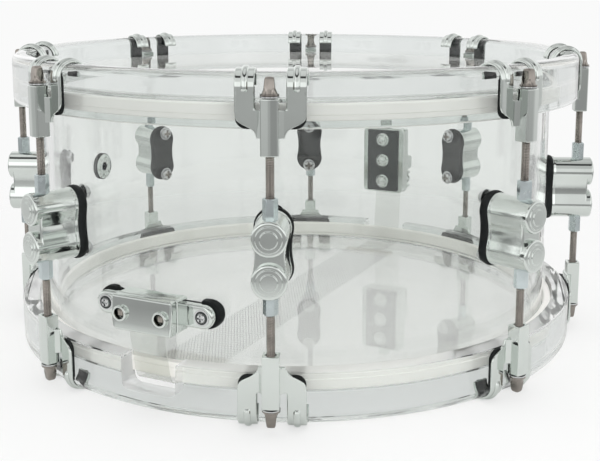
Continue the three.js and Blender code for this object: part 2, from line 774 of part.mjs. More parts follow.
const lug = lugSolid();
const claw = clawSolid();
const rod = rodSolid();
lugAngles.forEach((angle, index) => {
  const number = index + 1;
  const front = station(angle);
  front.add(
    piece(`lug_${number}`, lug, 'chrome'),
    piece(`batter_claw_${number}`, claw, 'chrome'),
    piece(`batter_tension_rod_${number}`, rod, 'rodSteel'),
  );
  const under = station(angle, true);
  under.add(
    piece(`snare_side_claw_${number}`, claw, 'chrome'),
    piece(`snare_side_tension_rod_${number}`, rod, 'rodSteel'),
  );
  drum.add(front, under);
});

const buttClampBack = buttFace + SEAT_GAP + STRAP + SEAT_GAP;
const buttLow = BUTT_HEIGHT - BUTT_BLOCK_HEIGHT / 2;
const buttStrapTop = BUTT_HEIGHT + BUTT_BLOCK_HEIGHT / 2 - WELD;
const butt = station(BUTT_ANGLE);
butt.add(
  piece('butt_gasket', buttGasketSolid(), 'rubber'),
  piece('butt_base', buttBaseSolid(), 'chrome'),
  piece('butt_clamp', clampSolid(BUTT_BLOCK_WIDTH, BUTT_BLOCK_HEIGHT, buttClampBack, BUTT_HEIGHT), 'chrome'),
  piece('butt_strap', strapSolid(buttFace + SEAT_GAP + STRAP / 2, buttStrapTop, buttLow), 'strap'),
  piece('snare_wires', snareSolid(), 'snareSteel'),
);
drum.add(butt);

const clampBack = slideFace + SEAT_GAP + STRAP + SEAT_GAP;
const clampLow = slideTop - SLIDE_LENGTH;
const clampMiddle = clampLow + STRAINER_CLAMP_HEIGHT / 2;
const clampTop = clampLow + STRAINER_CLAMP_HEIGHT - WELD;
const strainer = station(STRAINER_ANGLE);
strainer.add(
  piece('strainer_backing_plate', backingSolid(), 'blackPlate'),
  piece('strainer_base', strainerBaseSolid(), 'chrome'),
  piece('strainer_slide', slideSolid(), 'chrome'),
  piece('strainer_clamp', clampSolid(STRAINER_CLAMP_WIDTH, STRAINER_CLAMP_HEIGHT, clampBack, clampMiddle), 'chrome'),
  piece('strainer_strap', strapSolid(slideFace + SEAT_GAP + STRAP / 2, clampTop, clampLow), 'strap'),
  piece('strainer_lever', leverSolid(), 'chrome'),
  piece('strainer_knob', knobSolid(), 'chrome'),
);
drum.add(strainer);

const vent = station(VENT_ANGLE);
vent.add(piece('vent_grommet', ventSolid(), 'chrome'));
drum.add(vent);

const part = new THREE.Group();
part.name = 'snare_drum';
part.add(drum);

export default part;
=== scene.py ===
"""Clear acrylic snare drum: detailed surfaces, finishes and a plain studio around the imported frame."""

import math

import bmesh
import bpy
import numpy as np
from bpy.props import FloatProperty, FloatVectorProperty, PointerProperty
from bpy.types import Operator, Panel, PropertyGroup
from mathutils import Matrix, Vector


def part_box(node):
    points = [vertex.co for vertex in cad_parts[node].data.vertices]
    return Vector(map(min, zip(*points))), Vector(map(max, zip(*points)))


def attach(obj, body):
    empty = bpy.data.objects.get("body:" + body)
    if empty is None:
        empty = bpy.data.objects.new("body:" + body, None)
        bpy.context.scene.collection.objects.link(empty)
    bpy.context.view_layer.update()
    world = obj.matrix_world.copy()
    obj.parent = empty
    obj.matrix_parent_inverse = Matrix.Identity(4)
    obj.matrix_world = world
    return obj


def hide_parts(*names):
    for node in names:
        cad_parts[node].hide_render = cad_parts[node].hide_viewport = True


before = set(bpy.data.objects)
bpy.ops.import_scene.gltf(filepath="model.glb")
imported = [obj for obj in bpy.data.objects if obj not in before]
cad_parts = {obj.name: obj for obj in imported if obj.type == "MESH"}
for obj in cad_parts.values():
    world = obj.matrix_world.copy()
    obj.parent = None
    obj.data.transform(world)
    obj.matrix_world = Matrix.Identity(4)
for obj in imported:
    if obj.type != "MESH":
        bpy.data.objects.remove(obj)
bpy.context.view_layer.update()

bl_info = {
    "name": "Acrylic Snare Drum",
    "version": (1, 0, 0),
    "blender": (4, 5, 0),
    "location": "View3D > Sidebar > Drum",
    "description": "Builds a clear acrylic snare drum around its packed frame",
    "category": "Add Mesh",
}

# Places and sizes read from the frame. Lengths are millimetres, heights are from the drum's middle plane.
MM = 0.001
LUGS = 8
SHELL_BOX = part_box("shell")
MIDDLE = (SHELL_BOX[0].z + SHELL_BOX[1].z) / 2 / MM


def bearing(node):
    """Angle in degrees of a node about the drum's axis, from the front towards the right."""
    low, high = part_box(node)
    return math.degrees(math.atan2(low.x + high.x, -(low.y + high.y)))


def reach(node, angle=0.0):
    """Lowest and highest (across, outward, up) of a node's points, turned back by a station's angle."""
    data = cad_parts[node].data
    points = np.empty(len(data.vertices) * 3)
    data.vertices.foreach_get("co", points)
    points = points.reshape(-1, 3) / MM
    sine, cosine = math.sin(math.radians(angle)), math.cos(math.radians(angle))
    across = points[:, 0] * cosine + points[:, 1] * sine
    outward = points[:, 0] * sine - points[:, 1] * cosine
    station = np.stack([across, outward, points[:, 2] - MIDDLE])
    return station.min(1), station.max(1)


SHELL_OUTER, _, SHELL_TOP = reach("shell")[1]
(_, _, HOOP_BOTTOM), (HOOP_OUTER, _, HOOP_TOP) = reach("batter_hoop")
(_, _, FLESH_BOTTOM), (FLESH_OUTER, _, FILM_TOP) = reach("batter_head")
FLESH_TOP = FILM_TOP - 2.3
CLAW_LOW, CLAW_HIGH = reach("batter_claw_1")
CLAW_FOOT = HOOP_BOTTOM - 4.6
ROD_LOW, ROD_HIGH = reach("batter_tension_rod_1")
ROD_SEAT = ROD_HIGH[2] - 12.0
ROD_CIRCLE = (ROD_LOW[1] + ROD_HIGH[1]) / 2
LUG_HIGH = reach("lug_1")[1]
BUTT_ANGLE = bearing("butt_clamp")
STRAINER_ANGLE = bearing("strainer_clamp")
VENT_ANGLE = bearing("vent_grommet")
STATIONS = [360 / LUGS * number for number in range(LUGS)]
HEAD_SIDES = (("batter", False), ("snare_side", True))

# Degrees by which the strap gates stand off their fittings
GATE_TURN = 0.5


def length(name, description, millimetres):
    """A length property in metres with its default in millimetres."""
    return FloatProperty(name=name, description=description, default=millimetres * MM, unit="LENGTH", precision=5)


def colour(name, description, value):
    """A colour property with three channels."""
    return FloatVectorProperty(name=name, description=description, default=value, size=3, subtype="COLOR",
                               min=0, max=1)


class DrumSizes(PropertyGroup):
    """Sizes of the drum's details."""

    wall: length("Shell wall", "Thickness of the acrylic shell", 6.0)
    edge: length("Bearing edge", "Radius of the shell's round-over under each head", 2.8)
    film: length("Film", "Thickness of a head's clear film", 0.3)
    flesh: length("Flesh hoop", "Width of a head's metal flesh hoop", 5.5)
    skirt: length("Hoop skirt", "Gap between a flesh hoop and the skirt of its hoop", 0.3)
    lip: length("Hoop lip", "Thickness of a hoop at its playing edge", 13.5)
    lip_drop: length("Lip seat", "Height of the hoop's seat above the flesh hoop", 0.3)
    ease: length("Hoop edge", "Radius of a hoop's eased lower edge", 1.5)
    crown: length("Hoop crown", "Radius of a hoop's round playing edge", 5.2)
    gate: length("Strap gate", "Half width of the opening for a snare strap", 18.8)
    gate_floor: length("Gate floor", "Height of the hoop left under a strap gate", 10.6)
    metal: length("Claw metal", "Thickness of a claw's plate", 1.6)
    liner: length("Claw liner", "Thickness of a claw's rubber liner", 0.45)
    rib: length("Claw rib", "Height of the raised rib on each fork", 1.2)
    fork: length("Claw fork", "Width of one fork of a claw", 11.0)
    rod: length("Rod", "Diameter of a tension rod", 5.0)
    pitch: length("Thread pitch", "Distance between two turns of a rod's thread", 0.9)
    thread: length("Thread depth", "Depth of a rod's thread", 0.3)
    turret: length("Turret", "Radius of a lug's turret", 9.9)
    gasket: length("Lug gasket", "Height of a lug's rubber gasket off the shell", 5.8)
    turret_rise: length("Turret rise", "Height of a turret's middle above the lug's centre", 11.7)
    coil: length("Strand pitch", "Distance between two turns of a snare strand", 3.9)
    wire: length("Strand wire", "Diameter of the wire in a snare strand", 0.5)


class DrumColours(PropertyGroup):
    """Colours of the drum's finishes and its stage."""

    acrylic: colour("Acrylic", "Tint of the clear shell", (0.90, 0.918, 0.904))
    hoop: colour("Hoop acrylic", "Tint of the thicker clear hoops", (0.80, 0.828, 0.818))
    film: colour("Film", "Tint of the clear heads", (0.984, 0.985, 0.978))
    aluminium: colour("Aluminium", "Flesh hoops", (0.91, 0.895, 0.86))
    chrome: colour("Chrome", "Castings, claws and fittings", (0.705, 0.745, 0.715))
    rod: colour("Rods", "Warm dark nickel of the rods", (0.36, 0.33, 0.30))
    receiver: colour("Receivers", "Pale steel of the hexagonal receivers", (0.66, 0.73, 0.74))
    steel: colour("Steel", "Screws, snare wires and bolts", (0.66, 0.67, 0.67))
    rubber: colour("Rubber", "Gaskets and claw liners", (0.014, 0.016, 0.016))
    plate: colour("Black plate", "Backing plate inside the shell", (0.040, 0.046, 0.045))
    strap: colour("Strap", "Translucent snare straps", (0.88, 0.89, 0.87))
    floor: colour("Floor", "Pale floor", (0.90, 0.90, 0.895))


def size(name):
    """One of the drum's detail sizes in millimetres."""
    return getattr(bpy.context.scene.drum_sizes, name) / MM


def tint(name, factor=1.0):
    """One of the drum's colours, darkened by a factor, with alpha."""
    return (*(channel * factor for channel in getattr(bpy.context.scene.drum_colours, name)), 1.0)


def inner_wall():
    """Radius of the shell's inner wall."""
    return SHELL_OUTER - size("wall")


# Outlines and grids

SIDES = 288


def quarter(count):
    """Angles that divide a quarter turn."""
    return np.linspace(0, np.pi / 2, count)


def rounded(corners, radii, steps=4):
    """A closed polygon with round corners: each corner becomes the arc that touches both of its edges,
    swept between the two touching points about the arc's centre."""
    corners = np.asarray(corners, float)
    radii = np.broadcast_to(np.asarray(radii, float), len(corners))[:, None]
    before = np.roll(corners, 1, 0) - corners
    after = np.roll(corners, -1, 0) - corners
    before /= np.linalg.norm(before, axis=1, keepdims=True)
    after /= np.linalg.norm(after, axis=1, keepdims=True)
    half = 0.5 * np.arccos(np.clip((before * after).sum(1, keepdims=True), -0.9999999, 0.9999999))
    middle = before + after
    middle /= np.linalg.norm(middle, axis=1, keepdims=True)
    centre = corners + middle * radii / np.sin(half)
    start = (corners + before * radii / np.tan(half) - centre)[:, None]
    end = (corners + after * radii / np.tan(half) - centre)[:, None]
    sweep = (np.pi - 2 * half)[:, None]
    part = np.linspace(0, 1, steps + 1)[None, :, None]
    arcs = (np.sin((1 - part) * sweep) * start + np.sin(part * sweep) * end) / np.sin(sweep)
    points = (centre[:, None] + arcs).reshape(-1, 2)
    gaps = np.linalg.norm(points - np.roll(points, 1, 0), axis=1)
    return points[gaps > 1e-6]


def bent(points, radii, steps=8):
    """An open path whose inner corners are arcs of the given radii."""
    path = rounded(points, [0, *radii, 0], steps)
    first = np.argmin(np.linalg.norm(path - np.asarray(points[0]), axis=1))
    return np.roll(path, -first, 0)


def inset(outline, distance):
    """A closed outline moved inwards along its normals."""
    along = np.roll(outline, -1, 0) - np.roll(outline, 1, 0)
    along /= np.linalg.norm(along, axis=1, keepdims=True)
    after = np.roll(outline, -1, 0)
    turn = np.sign((outline[:, 0] * after[:, 1] - outline[:, 1] * after[:, 0]).sum())
    return outline + distance * turn * np.stack([-along[:, 1], along[:, 0]], 1)


def smooth(value):
    """A step from 0 to 1 with level ends."""
    value = np.clip(value, 0, 1)
    return value * value * (3 - 2 * value)


def fold(grid, wrap_rows=False, wrap_columns=False):
    """The points of a grid and the quads between its neighbours, closed on itself where it wraps."""
    rows, columns = grid.shape[:2]
    number = np.arange(rows * columns).reshape(rows, columns)
    if wrap_rows:
        number = np.vstack([number, number[:1]])
    if wrap_columns:
        number = np.hstack([number, number[:, :1]])
    quads = np.stack([number[:-1, :-1], number[:-1, 1:], number[1:, 1:], number[1:, :-1]], -1)
    return grid.reshape(-1, 3), quads.reshape(-1, 4)


def capped(rings):
    """Closed rings joined in order, with the first and the last drawn in to their middles."""
    first = np.broadcast_to(rings[0].mean(0), rings[0].shape)
    last = np.broadcast_to(rings[-1].mean(0), rings[-1].shape)
    return fold(np.concatenate([first[None], rings, last[None]]), wrap_columns=True)


def spun(profile, axis, centre, sides=48, shape=None, weight=None):
    """A closed profile of (radius, place) turned about an axis through centre. Where weight is 1 the radius is
    scaled by shape(angle), and between 0 and 1 the section passes from a circle to that shape."""
    angle = np.arange(sides) * 2 * np.pi / sides
    radius = np.repeat(profile[:, :1], sides, 1)
    if shape is not None:
        radius = radius * (1 + weight[:, None] * (shape(angle)[None] - 1))
    one, two = radius * np.cos(angle), radius * np.sin(angle)
    spot = np.repeat(profile[:, 1:], sides, 1)
    orders = {"up": (centre[0] + one, centre[1] + two, spot), "out": (centre[0] + one, spot, centre[1] + two),
              "across": (spot, centre[0] + one, centre[1] + two)}
    return fold(np.stack(orders[axis], -1), wrap_rows=True, wrap_columns=True)


def slab(outline, low, high, ease=0.8, axis="out", seat=None, spine=None):
    """A plate: an outline carried from low to high, both edges eased by quarter circles. With a seat, the low face
    lies on a cylinder of that radius about the drum's axis. With a spine, both faces are drawn in to the level line at
    that height instead of to their middles."""
    turn = quarter(4)
    insets = ease * (1 - np.sin(turn))
    depths = ease * (1 - np.cos(turn))
    lows = [inset(outline, step) for step in insets]
    rings = np.array(lows + lows[::-1])
    spot = np.concatenate([low + depths, high - depths[::-1]])[:, None].repeat(len(outline), 1)
    if seat:
        back = np.sqrt(seat ** 2 - rings[:, :, 0] ** 2)
        spot = high - (high - spot) / (high - low) * (high - back)
    one, two = rings[:, :, 0], rings[:, :, 1]
    orders = {"out": (one, spot, two), "across": (spot, one, two), "up": (one, two, spot)}
    points = np.stack(orders[axis], -1)
    if spine is None:
        return capped(points)
    faces = points[[0, -1]]
    faces[..., 2] = spine
    return fold(np.concatenate([faces[:1], points, faces[1:]]), wrap_columns=True)


def rectangle(low, high, radius, steps=4):
    """A rectangle between two corners with round corners."""
    return rounded([(low[0], low[1]), (high[0], low[1]), (high[0], high[1]), (low[0], high[1])], radius, steps)


def carried(section, path, taper=None):
    """A section of (across, thickness) carried along a path of (outward, up), square to it, both ends closed."""
    along = np.gradient(path, axis=0)
    along /= np.linalg.norm(along, axis=1, keepdims=True)
    normal = np.stack([along[:, 1], -along[:, 0]], 1)
    wide = np.ones(len(path)) if taper is None else taper
    across = section[None, :, 0] * wide[:, None]
    outward = path[:, None, 0] + normal[:, None, 0] * section[None, :, 1]
    up = path[:, None, 1] + normal[:, None, 1] * section[None, :, 1]
    return capped(np.stack([across, outward, up], -1))


def hexagon(angle):
    """Radius of a regular hexagon with its corners on the unit circle, one corner at angle 0."""
    return np.cos(np.pi / 6) / np.cos(angle % (np.pi / 3) - np.pi / 6)


def square(angle, power=9):
    """Radius of a square with soft corners and half width 1, by the superellipse."""
    return (np.abs(np.cos(angle)) ** power + np.abs(np.sin(angle)) ** power) ** (-1 / power)


def cross(angle, half=0.3):
    """Radius of a cross whose arms reach 1 and are half wide to each side."""
    part = np.abs((angle + np.pi / 4) % (np.pi / 2) - np.pi / 4)
    return np.minimum(1 / np.cos(part), half / np.maximum(np.sin(part), 1e-6))


def standing(rows, seat, towards=1):
    """A profile of (radius, height) rows that stands on a seat in one direction."""
    return np.stack([rows[:, 0], seat + towards * rows[:, 1]], 1)


def mirrored(patch, factors=(-1, 1, 1)):
    """A patch mirrored in the planes whose factor is -1."""
    points, quads = patch
    return points * factors, quads


def solid(name, *patches, crease=32):
    """One mesh from grid patches: points that coincide are merged, which closes seams and poles, and the faces
    are turned outwards."""
    starts = np.cumsum([0] + [len(points) for points, _ in patches])
    points = np.concatenate([points for points, _ in patches]) * (1, -1, 1)
    quads = np.concatenate([quads + start for (_, quads), start in zip(patches, starts)])
    mesh = bpy.data.meshes.new(name)
    mesh.vertices.add(len(points))
    mesh.vertices.foreach_set("co", points.ravel())
    mesh.loops.add(quads.size)
    mesh.loops.foreach_set("vertex_index", quads.ravel().astype(np.int32))
    mesh.polygons.add(len(quads))
    mesh.polygons.foreach_set("loop_start", np.arange(0, quads.size, 4, dtype=np.int32))
    mesh.update(calc_edges=True)
    shape = bmesh.new()
    shape.from_mesh(mesh)
    bmesh.ops.remove_doubles(shape, verts=shape.verts, dist=2e-3)
    bmesh.ops.delete(shape, geom=[edge for edge in shape.edges if edge.is_wire], context="EDGES")
    bmesh.ops.recalc_face_normals(shape, faces=shape.faces)
    shape.to_mesh(mesh)
    shape.free()
    mesh.shade_smooth()
    mesh.set_sharp_from_angle(angle=math.radians(crease))
    return mesh


def place(mesh, name, look, angle=0.0, flip=False, body="drum", nodes=()):
    """A copy of a mesh turned to its station, turned over for the snare side, riding on its body."""
    turn = Matrix.Rotation(math.radians(angle), 4, "Z")
    if flip:
        turn = turn @ Matrix.Rotation(math.pi, 4, "Y")
    data = mesh.copy()
    data.name = name
    data.transform(Matrix.Translation((0, 0, MIDDLE * MM)) @ turn @ Matrix.Scale(MM, 4))
    data.materials.append(finish(look))
    piece = bpy.data.objects.new(name, data)
    bpy.context.scene.collection.objects.link(piece)
    shading = piece.modifiers.new("Weighted normals", "WEIGHTED_NORMAL")
    shading.weight = 100
    shading.keep_sharp = True
    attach(piece, body)
    if nodes:
        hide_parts(*nodes)
    return piece


# Finishes

def node(tree, kind, inputs=None, **settings):
    """A shader node with its settings, and its inputs, by name or number, set or linked."""
    made = tree.nodes.new("ShaderNode" + kind)
    for key, value in settings.items():
        setattr(made, key, value)
    for key, value in (inputs or {}).items():
        if isinstance(value, bpy.types.NodeSocket):
            tree.links.new(value, made.inputs[key])
        else:
            made.inputs[key].default_value = value
    return made


def join(tree, operation, one, two):
    """The value of a sum on two sockets or numbers."""
    return node(tree, "Math", {0: one, 1: two}, operation=operation).outputs[0]


def group(name, inputs, outputs, build):
    """A shader node group with named sockets, built once."""
    tree = bpy.data.node_groups.get(name)
    if tree:
        return tree
    tree = bpy.data.node_groups.new(name, "ShaderNodeTree")
    for label, kind, value in inputs:
        tree.interface.new_socket(name=label, in_out="INPUT", socket_type=kind).default_value = value
    for label, kind in outputs:
        tree.interface.new_socket(name=label, in_out="OUTPUT", socket_type=kind)
    sink = tree.nodes.new("NodeGroupOutput")
    for label, socket in build(tree, tree.nodes.new("NodeGroupInput").outputs).items():
        tree.links.new(socket, sink.inputs[label])
    return tree


FLOAT, COLOUR = "NodeSocketFloat", "NodeSocketColor"

# Numbers of a Mix node's colour sockets
MIX_ONE, MIX_TWO, MIX_COLOUR = 6, 7, 2

# Bounces after which a clear finish lets light straight through
MIRROR_LIMIT, BOUNCE_LIMIT = 1.5, 8.5


def marks_group():
    """Handling marks: cloudy noise mapped between a low and a high value, and fine noise as a height."""
    def build(tree, given):
        spot = node(tree, "TexCoord").outputs["Object"]
        cloud = node(tree, "TexNoise", {"Vector": spot, "Scale": given["Scale"], "Detail": 5.0, "Roughness": 0.6})
        fine = node(tree, "TexNoise", {"Vector": spot, "Scale": 900.0, "Detail": 2.0})
        value = node(tree, "MapRange", {"Value": cloud.outputs["Fac"], "From Min": 0.36, "From Max": 0.68,
                                        "To Min": given["Low"], "To Max": given["High"]})
        return {"Value": value.outputs["Result"], "Height": fine.outputs["Fac"]}
    return group("Handling marks", [("Scale", FLOAT, 30.0), ("Low", FLOAT, 0.05), ("High", FLOAT, 0.15)],
                 [("Value", FLOAT), ("Height", FLOAT)], build)


def tone_group():
    """Two tones of one finish mixed by soft noise."""
    def build(tree, given):
        spot = node(tree, "TexCoord").outputs["Object"]
        cloud = node(tree, "TexNoise", {"Vector": spot, "Scale": given["Scale"], "Detail": 4.0})
        part = node(tree, "MapRange", {"Value": cloud.outputs["Fac"], "From Min": 0.35, "From Max": 0.65})
        mixed = node(tree, "Mix", {"Factor": part.outputs["Result"], MIX_ONE: given["Light"], MIX_TWO: given["Dark"]},
                     data_type="RGBA")
        return {"Color": mixed.outputs[MIX_COLOUR]}
    return group("Two tones", [("Light", COLOUR, (1, 1, 1, 1)), ("Dark", COLOUR, (0, 0, 0, 1)),
                               ("Scale", FLOAT, 20.0)], [("Color", COLOUR)], build)


def lines_group():
    """Fine lines that run round the drum's axis: noise that changes quickly upwards and slowly sideways."""
    def build(tree, given):
        spot = node(tree, "TexCoord").outputs["Object"]
        squeezed = node(tree, "Mapping", {"Vector": spot, "Scale": (6.0, 6.0, 1500.0)})
        lines = node(tree, "TexNoise", {"Vector": squeezed.outputs["Vector"], "Scale": given["Scale"], "Detail": 3.0})
        return {"Height": lines.outputs["Fac"]}
    return group("Turned lines", [("Scale", FLOAT, 1.0)], [("Height", FLOAT)], build)


def placed_group(tree, made, values):
    """A node group placed in a material with its own values."""
    used = tree.nodes.new("ShaderNodeGroup")
    used.node_tree = made
    for key, value in values.items():
        used.inputs[key].default_value = value
    return used.outputs


def surface(name, light, dark, rough, scale, bump, metallic=0.0, lines=False, **shader):
    """A finish: two tones for colour, handling marks for roughness and a fine bump, on one Principled shader."""
    made = bpy.data.materials.new(name)
    made.use_nodes = True
    tree = made.node_tree
    tree.nodes.clear()
    tones = placed_group(tree, tone_group(), {"Light": light, "Dark": dark, "Scale": scale})
    marks = placed_group(tree, marks_group(), {"Low": rough[0], "High": rough[1], "Scale": scale * 1.7})
    height = placed_group(tree, lines_group(), {"Scale": 1.0})["Height"] if lines else marks["Height"]
    relief = node(tree, "Bump", {"Height": height, "Strength": bump, "Distance": 0.0002})
    body = node(tree, "BsdfPrincipled", {"Base Color": tones["Color"], "Roughness": marks["Value"],
                                         "Metallic": metallic, "Normal": relief.outputs["Normal"], **shader})
    return made, tree, body


def opaque(name, *values, **shader):
    """A finish that light doesn't pass."""
    made, tree, body = surface(name, *values, **shader)
    node(tree, "OutputMaterial", {"Surface": body.outputs["BSDF"]})
    return made


def clear(name, light, *values, shade=None, straight=0.0, **shader):
    """A clear finish: glass to the eye, and a plain tint to shadow and bounced light so that it casts a pale
    shadow. A share of the light may pass straight on."""
    made, tree, body = surface(name, light, *values, **{"Transmission Weight": 1.0, **shader})
    path = node(tree, "LightPath").outputs
    either = join(tree, "MAXIMUM", path["Is Shadow Ray"], path["Is Diffuse Ray"])
    deep = join(tree, "MAXIMUM", join(tree, "GREATER_THAN", path["Glossy Depth"], MIRROR_LIMIT),
                join(tree, "GREATER_THAN", path["Ray Depth"], BOUNCE_LIMIT))
    either = join(tree, "MAXIMUM", join(tree, "MAXIMUM", either, deep), straight)
    through = node(tree, "BsdfTransparent", {"Color": shade or light})
    mixed = node(tree, "MixShader", {"Fac": either, 1: body.outputs["BSDF"], 2: through.outputs["BSDF"]})
    node(tree, "OutputMaterial", {"Surface": mixed.outputs["Shader"]})
    return made


ACRYLIC = {"shade": (0.985, 0.987, 0.985, 1), "IOR": 1.49}
FILM = {"shade": (0.975, 0.976, 0.972, 1), "IOR": 1.57}
METAL = {"metallic": 1.0}

# Each finish: kind, colour, factors of its two tones, lowest and highest roughness, scale of its marks, bump, the rest
LOOKS = {
    "sanded_acrylic": (clear, "acrylic", (1, 0.97), (0.30, 0.45), 90.0, 0.04, {**ACRYLIC, "straight": 0.55}),
    "polished_hoop": (clear, "hoop", (1, 0.985), (0.0, 0.003), 9.0, 0.001, ACRYLIC),
    "polished_acrylic": (clear, "acrylic", (1, 0.985), (0.0, 0.003), 9.0, 0.001, ACRYLIC),
    "batter_film": (clear, "film", (1, 0.985), (0.0, 0.004), 14.0, 0.002, FILM),
    "snare_side_film": (clear, "film", (1, 0.985), (0.0, 0.004), 14.0, 0.002, {**FILM, "straight": 0.4}),
    "flesh_aluminium": (opaque, "aluminium", (1, 0.96), (0.32, 0.42), 25.0, 0.06, {"metallic": 0.2, "lines": True}),
    "chrome_plate": (opaque, "chrome", (1, 0.95), (0.045, 0.10), 40.0, 0.012, METAL),
    "dark_nickel": (opaque, "rod", (1, 0.7), (0.07, 0.15), 120.0, 0.05, METAL),
    "receiver_steel": (opaque, "receiver", (1, 0.86), (0.18, 0.30), 90.0, 0.04, METAL),
    "bright_steel": (opaque, "steel", (1, 0.85), (0.06, 0.14), 110.0, 0.03, METAL),
    "snare_wire": (opaque, "steel", (0.95, 0.8), (0.16, 0.28), 160.0, 0.02, METAL),
    "tinned_plate": (opaque, "aluminium", (0.86, 0.8), (0.25, 0.4), 60.0, 0.04, {"metallic": 0.2}),
    "matt_rubber": (opaque, "rubber", (1, 0.6), (0.42, 0.62), 60.0, 0.25, {"Specular IOR Level": 0.12}),
    "satin_black": (opaque, "plate", (1, 0.8), (0.30, 0.42), 70.0, 0.12, {"Specular IOR Level": 0.15}),
    "clear_strap": (clear, "strap", (1, 0.96), (0.04, 0.10), 60.0, 0.02, {"IOR": 1.12}),
}


def finish(name):
    """The finish of that name, made when it is first asked for."""
    made = bpy.data.materials.get(name)
    if made:
        return made
    kind, hue, tones, rough, scale, bump, rest = LOOKS[name]
    light, dark = (tint(hue, tone) for tone in tones)
    return kind(name, light, dark, rough, scale, bump, **rest)


# Shell, hoops and heads

def shell_mesh():
    """The shell: a wall profile with a round-over and a 45 degree bevel at each end, turned about the drum's axis.
    Round the vent the grid's square rings pass into circles, and the inner ones are left open for a tube."""
    outer, inner, edge = SHELL_OUTER, inner_wall(), size("edge")
    step = 2 * np.pi / SIDES * outer
    hole, patch = 2 * step, 3 * step
    levels = np.arange(-3, 4) * step
    turn = quarter(7)
    crest = outer - edge
    rim = np.stack([crest + edge * np.cos(turn), SHELL_TOP - edge + edge * np.sin(turn)], 1)
    rim = np.vstack([rim, [[inner, SHELL_TOP - (crest - inner)]]])
    walls = [np.stack([np.full(7, radius), rise], 1) for radius, rise in ((outer, levels), (inner, levels[::-1]))]
    profile = np.vstack([walls[0], rim, walls[1], rim[::-1] * (1, -1)])

    def bore(around, up):
        """Squares about the vent drawn in to circles, fading out to the edge of the patch."""
        ring = np.maximum(np.abs(around), np.abs(up))
        far = np.maximum(np.hypot(around, up), 1e-9)
        fade = np.clip((ring - hole) / (patch - hole), 0, 1)
        factor = np.where(ring < patch, ring / far * (1 - fade) + fade, 1)
        return around * factor, up * factor, ring

    def wrapped(around, up, radius):
        """Points of the wall at distances along the outer wall from the vent."""
        angle = np.radians(VENT_ANGLE) + around / outer
        return np.stack([radius * np.sin(angle), radius * np.cos(angle), up], -1)

    columns = (np.arange(SIDES) - SIDES // 2) * step
    around, up = np.meshgrid(columns, profile[:, 1])
    around, up, ring = bore(around, up)
    points, quads = fold(wrapped(around, up, profile[:, :1]), wrap_rows=True, wrap_columns=True)
    quads = quads[~np.all(ring.ravel()[quads] < hole + 1e-6, axis=1)]
    run, back = np.arange(-2, 2), np.arange(2, -2, -1)
    low, high = np.full(4, -2), np.full(4, 2)
    around, up, _ = bore(np.concatenate([run, high, back, low]) * step, np.concatenate([low, run, high, back]) * step)
    tube = fold(np.stack([wrapped(around, up, outer), wrapped(around, up, inner)]), wrap_columns=True)
    return solid("shell_shape", (points, quads), tube)


def hoop_mesh(gates=()):
    """A hoop: its section carried round the drum. The section's lower edge rises over each strap gate along the
    gate's outline, whose sides lean in slightly and turn into its floor by quarter circles."""
    ease, crown, gate = size("ease"), size("crown"), size("gate")
    corner, lean, gate_ease = 5.0, 0.4, 0.5
    floor = HOOP_TOP - size("gate_floor")
    skirt = FLESH_OUTER + size("skirt")
    lip = HOOP_OUTER - size("lip")
    seat = FLESH_TOP + size("lip_drop")
    step = 360 / SIDES
    turn = quarter(7)
    side = np.stack([gate - lean * np.linspace(0, 1, 9), np.linspace(HOOP_BOTTOM, floor - corner, 9)], 1)
    bend = np.stack([gate - lean - corner + corner * np.cos(turn), floor - corner + corner * np.sin(turn)], 1)
    flat = np.stack([np.linspace(gate - lean - corner, 0, 7), np.full(7, floor)], 1)
    right = np.vstack([side, bend[1:], flat[1:]])
    outline = np.vstack([right * (-1, 1), right[-2::-1]])
    clearance = 6 * step
    ends = [*gates, gates[0] + 360] if gates else []
    runs = []
    for here, after in zip(ends[:-1], ends[1:]):
        plain = np.arange(here + clearance, after - clearance + step / 2, step)
        runs.append(np.column_stack([np.full(len(outline), here), outline]))
        runs.append(np.column_stack([plain, np.zeros(len(plain)), np.full(len(plain), HOOP_BOTTOM)]))
    if not gates:
        plain = np.arange(SIDES) * step
        runs.append(np.column_stack([plain, np.zeros(SIDES), np.full(SIDES, HOOP_BOTTOM)]))
    base, across, edge = np.vstack(runs).T[:, :, None]
    inner = np.where(edge < seat - 1e-6, skirt, lip)
    cut = np.minimum(ease, gate_ease + (edge <= HOOP_BOTTOM + 1e-6) * ease)
    foot, arch = quarter(5)[None], quarter(10)[None]
    radius = np.hstack([inner, HOOP_OUTER - cut + cut * np.sin(foot), HOOP_OUTER - crown + crown * np.cos(arch)
                        + 0 * edge, lip + crown - crown * np.sin(arch) + 0 * edge, lip + 0 * edge, inner])
    up = np.hstack([edge, edge + cut - cut * np.cos(foot), HOOP_TOP - crown + crown * np.sin(arch) + 0 * edge,
                    HOOP_TOP - crown + crown * np.cos(arch) + 0 * edge, np.maximum(edge, seat), np.maximum(edge, seat)])
    outward = np.sqrt(radius ** 2 - across ** 2)
    sine, cosine = np.sin(np.radians(base)), np.cos(np.radians(base))
    grid = np.stack([across * cosine + outward * sine, outward * cosine - across * sine, up], -1)
    return solid("hoop_shape", fold(grid, wrap_rows=True, wrap_columns=True))


def film_mesh():
    """A head's film: a flat disc that bends down over the bearing edge into its flesh hoop, given its thickness."""
    film, flesh = size("film"), FLESH_OUTER - size("flesh")
    under = FILM_TOP - 0.4
    crest = SHELL_OUTER - size("edge")
    path = np.array([(0.0, under), (60.0, under), (120.0, under), (crest - 2, under), (crest - 0.6, under - 0.02),
                     (crest + 0.6, under - 0.5), (flesh + 0.8, under - (flesh + 0.8 - crest) * 0.95)])
    profile = np.vstack([path, path[::-1] + (0, film)])
    profile[-7:, 0] += np.array([0.15, 0.12, 0.06, 0, 0, 0, 0])
    return solid("film_shape", spun(profile, "up", (0, 0), SIDES))


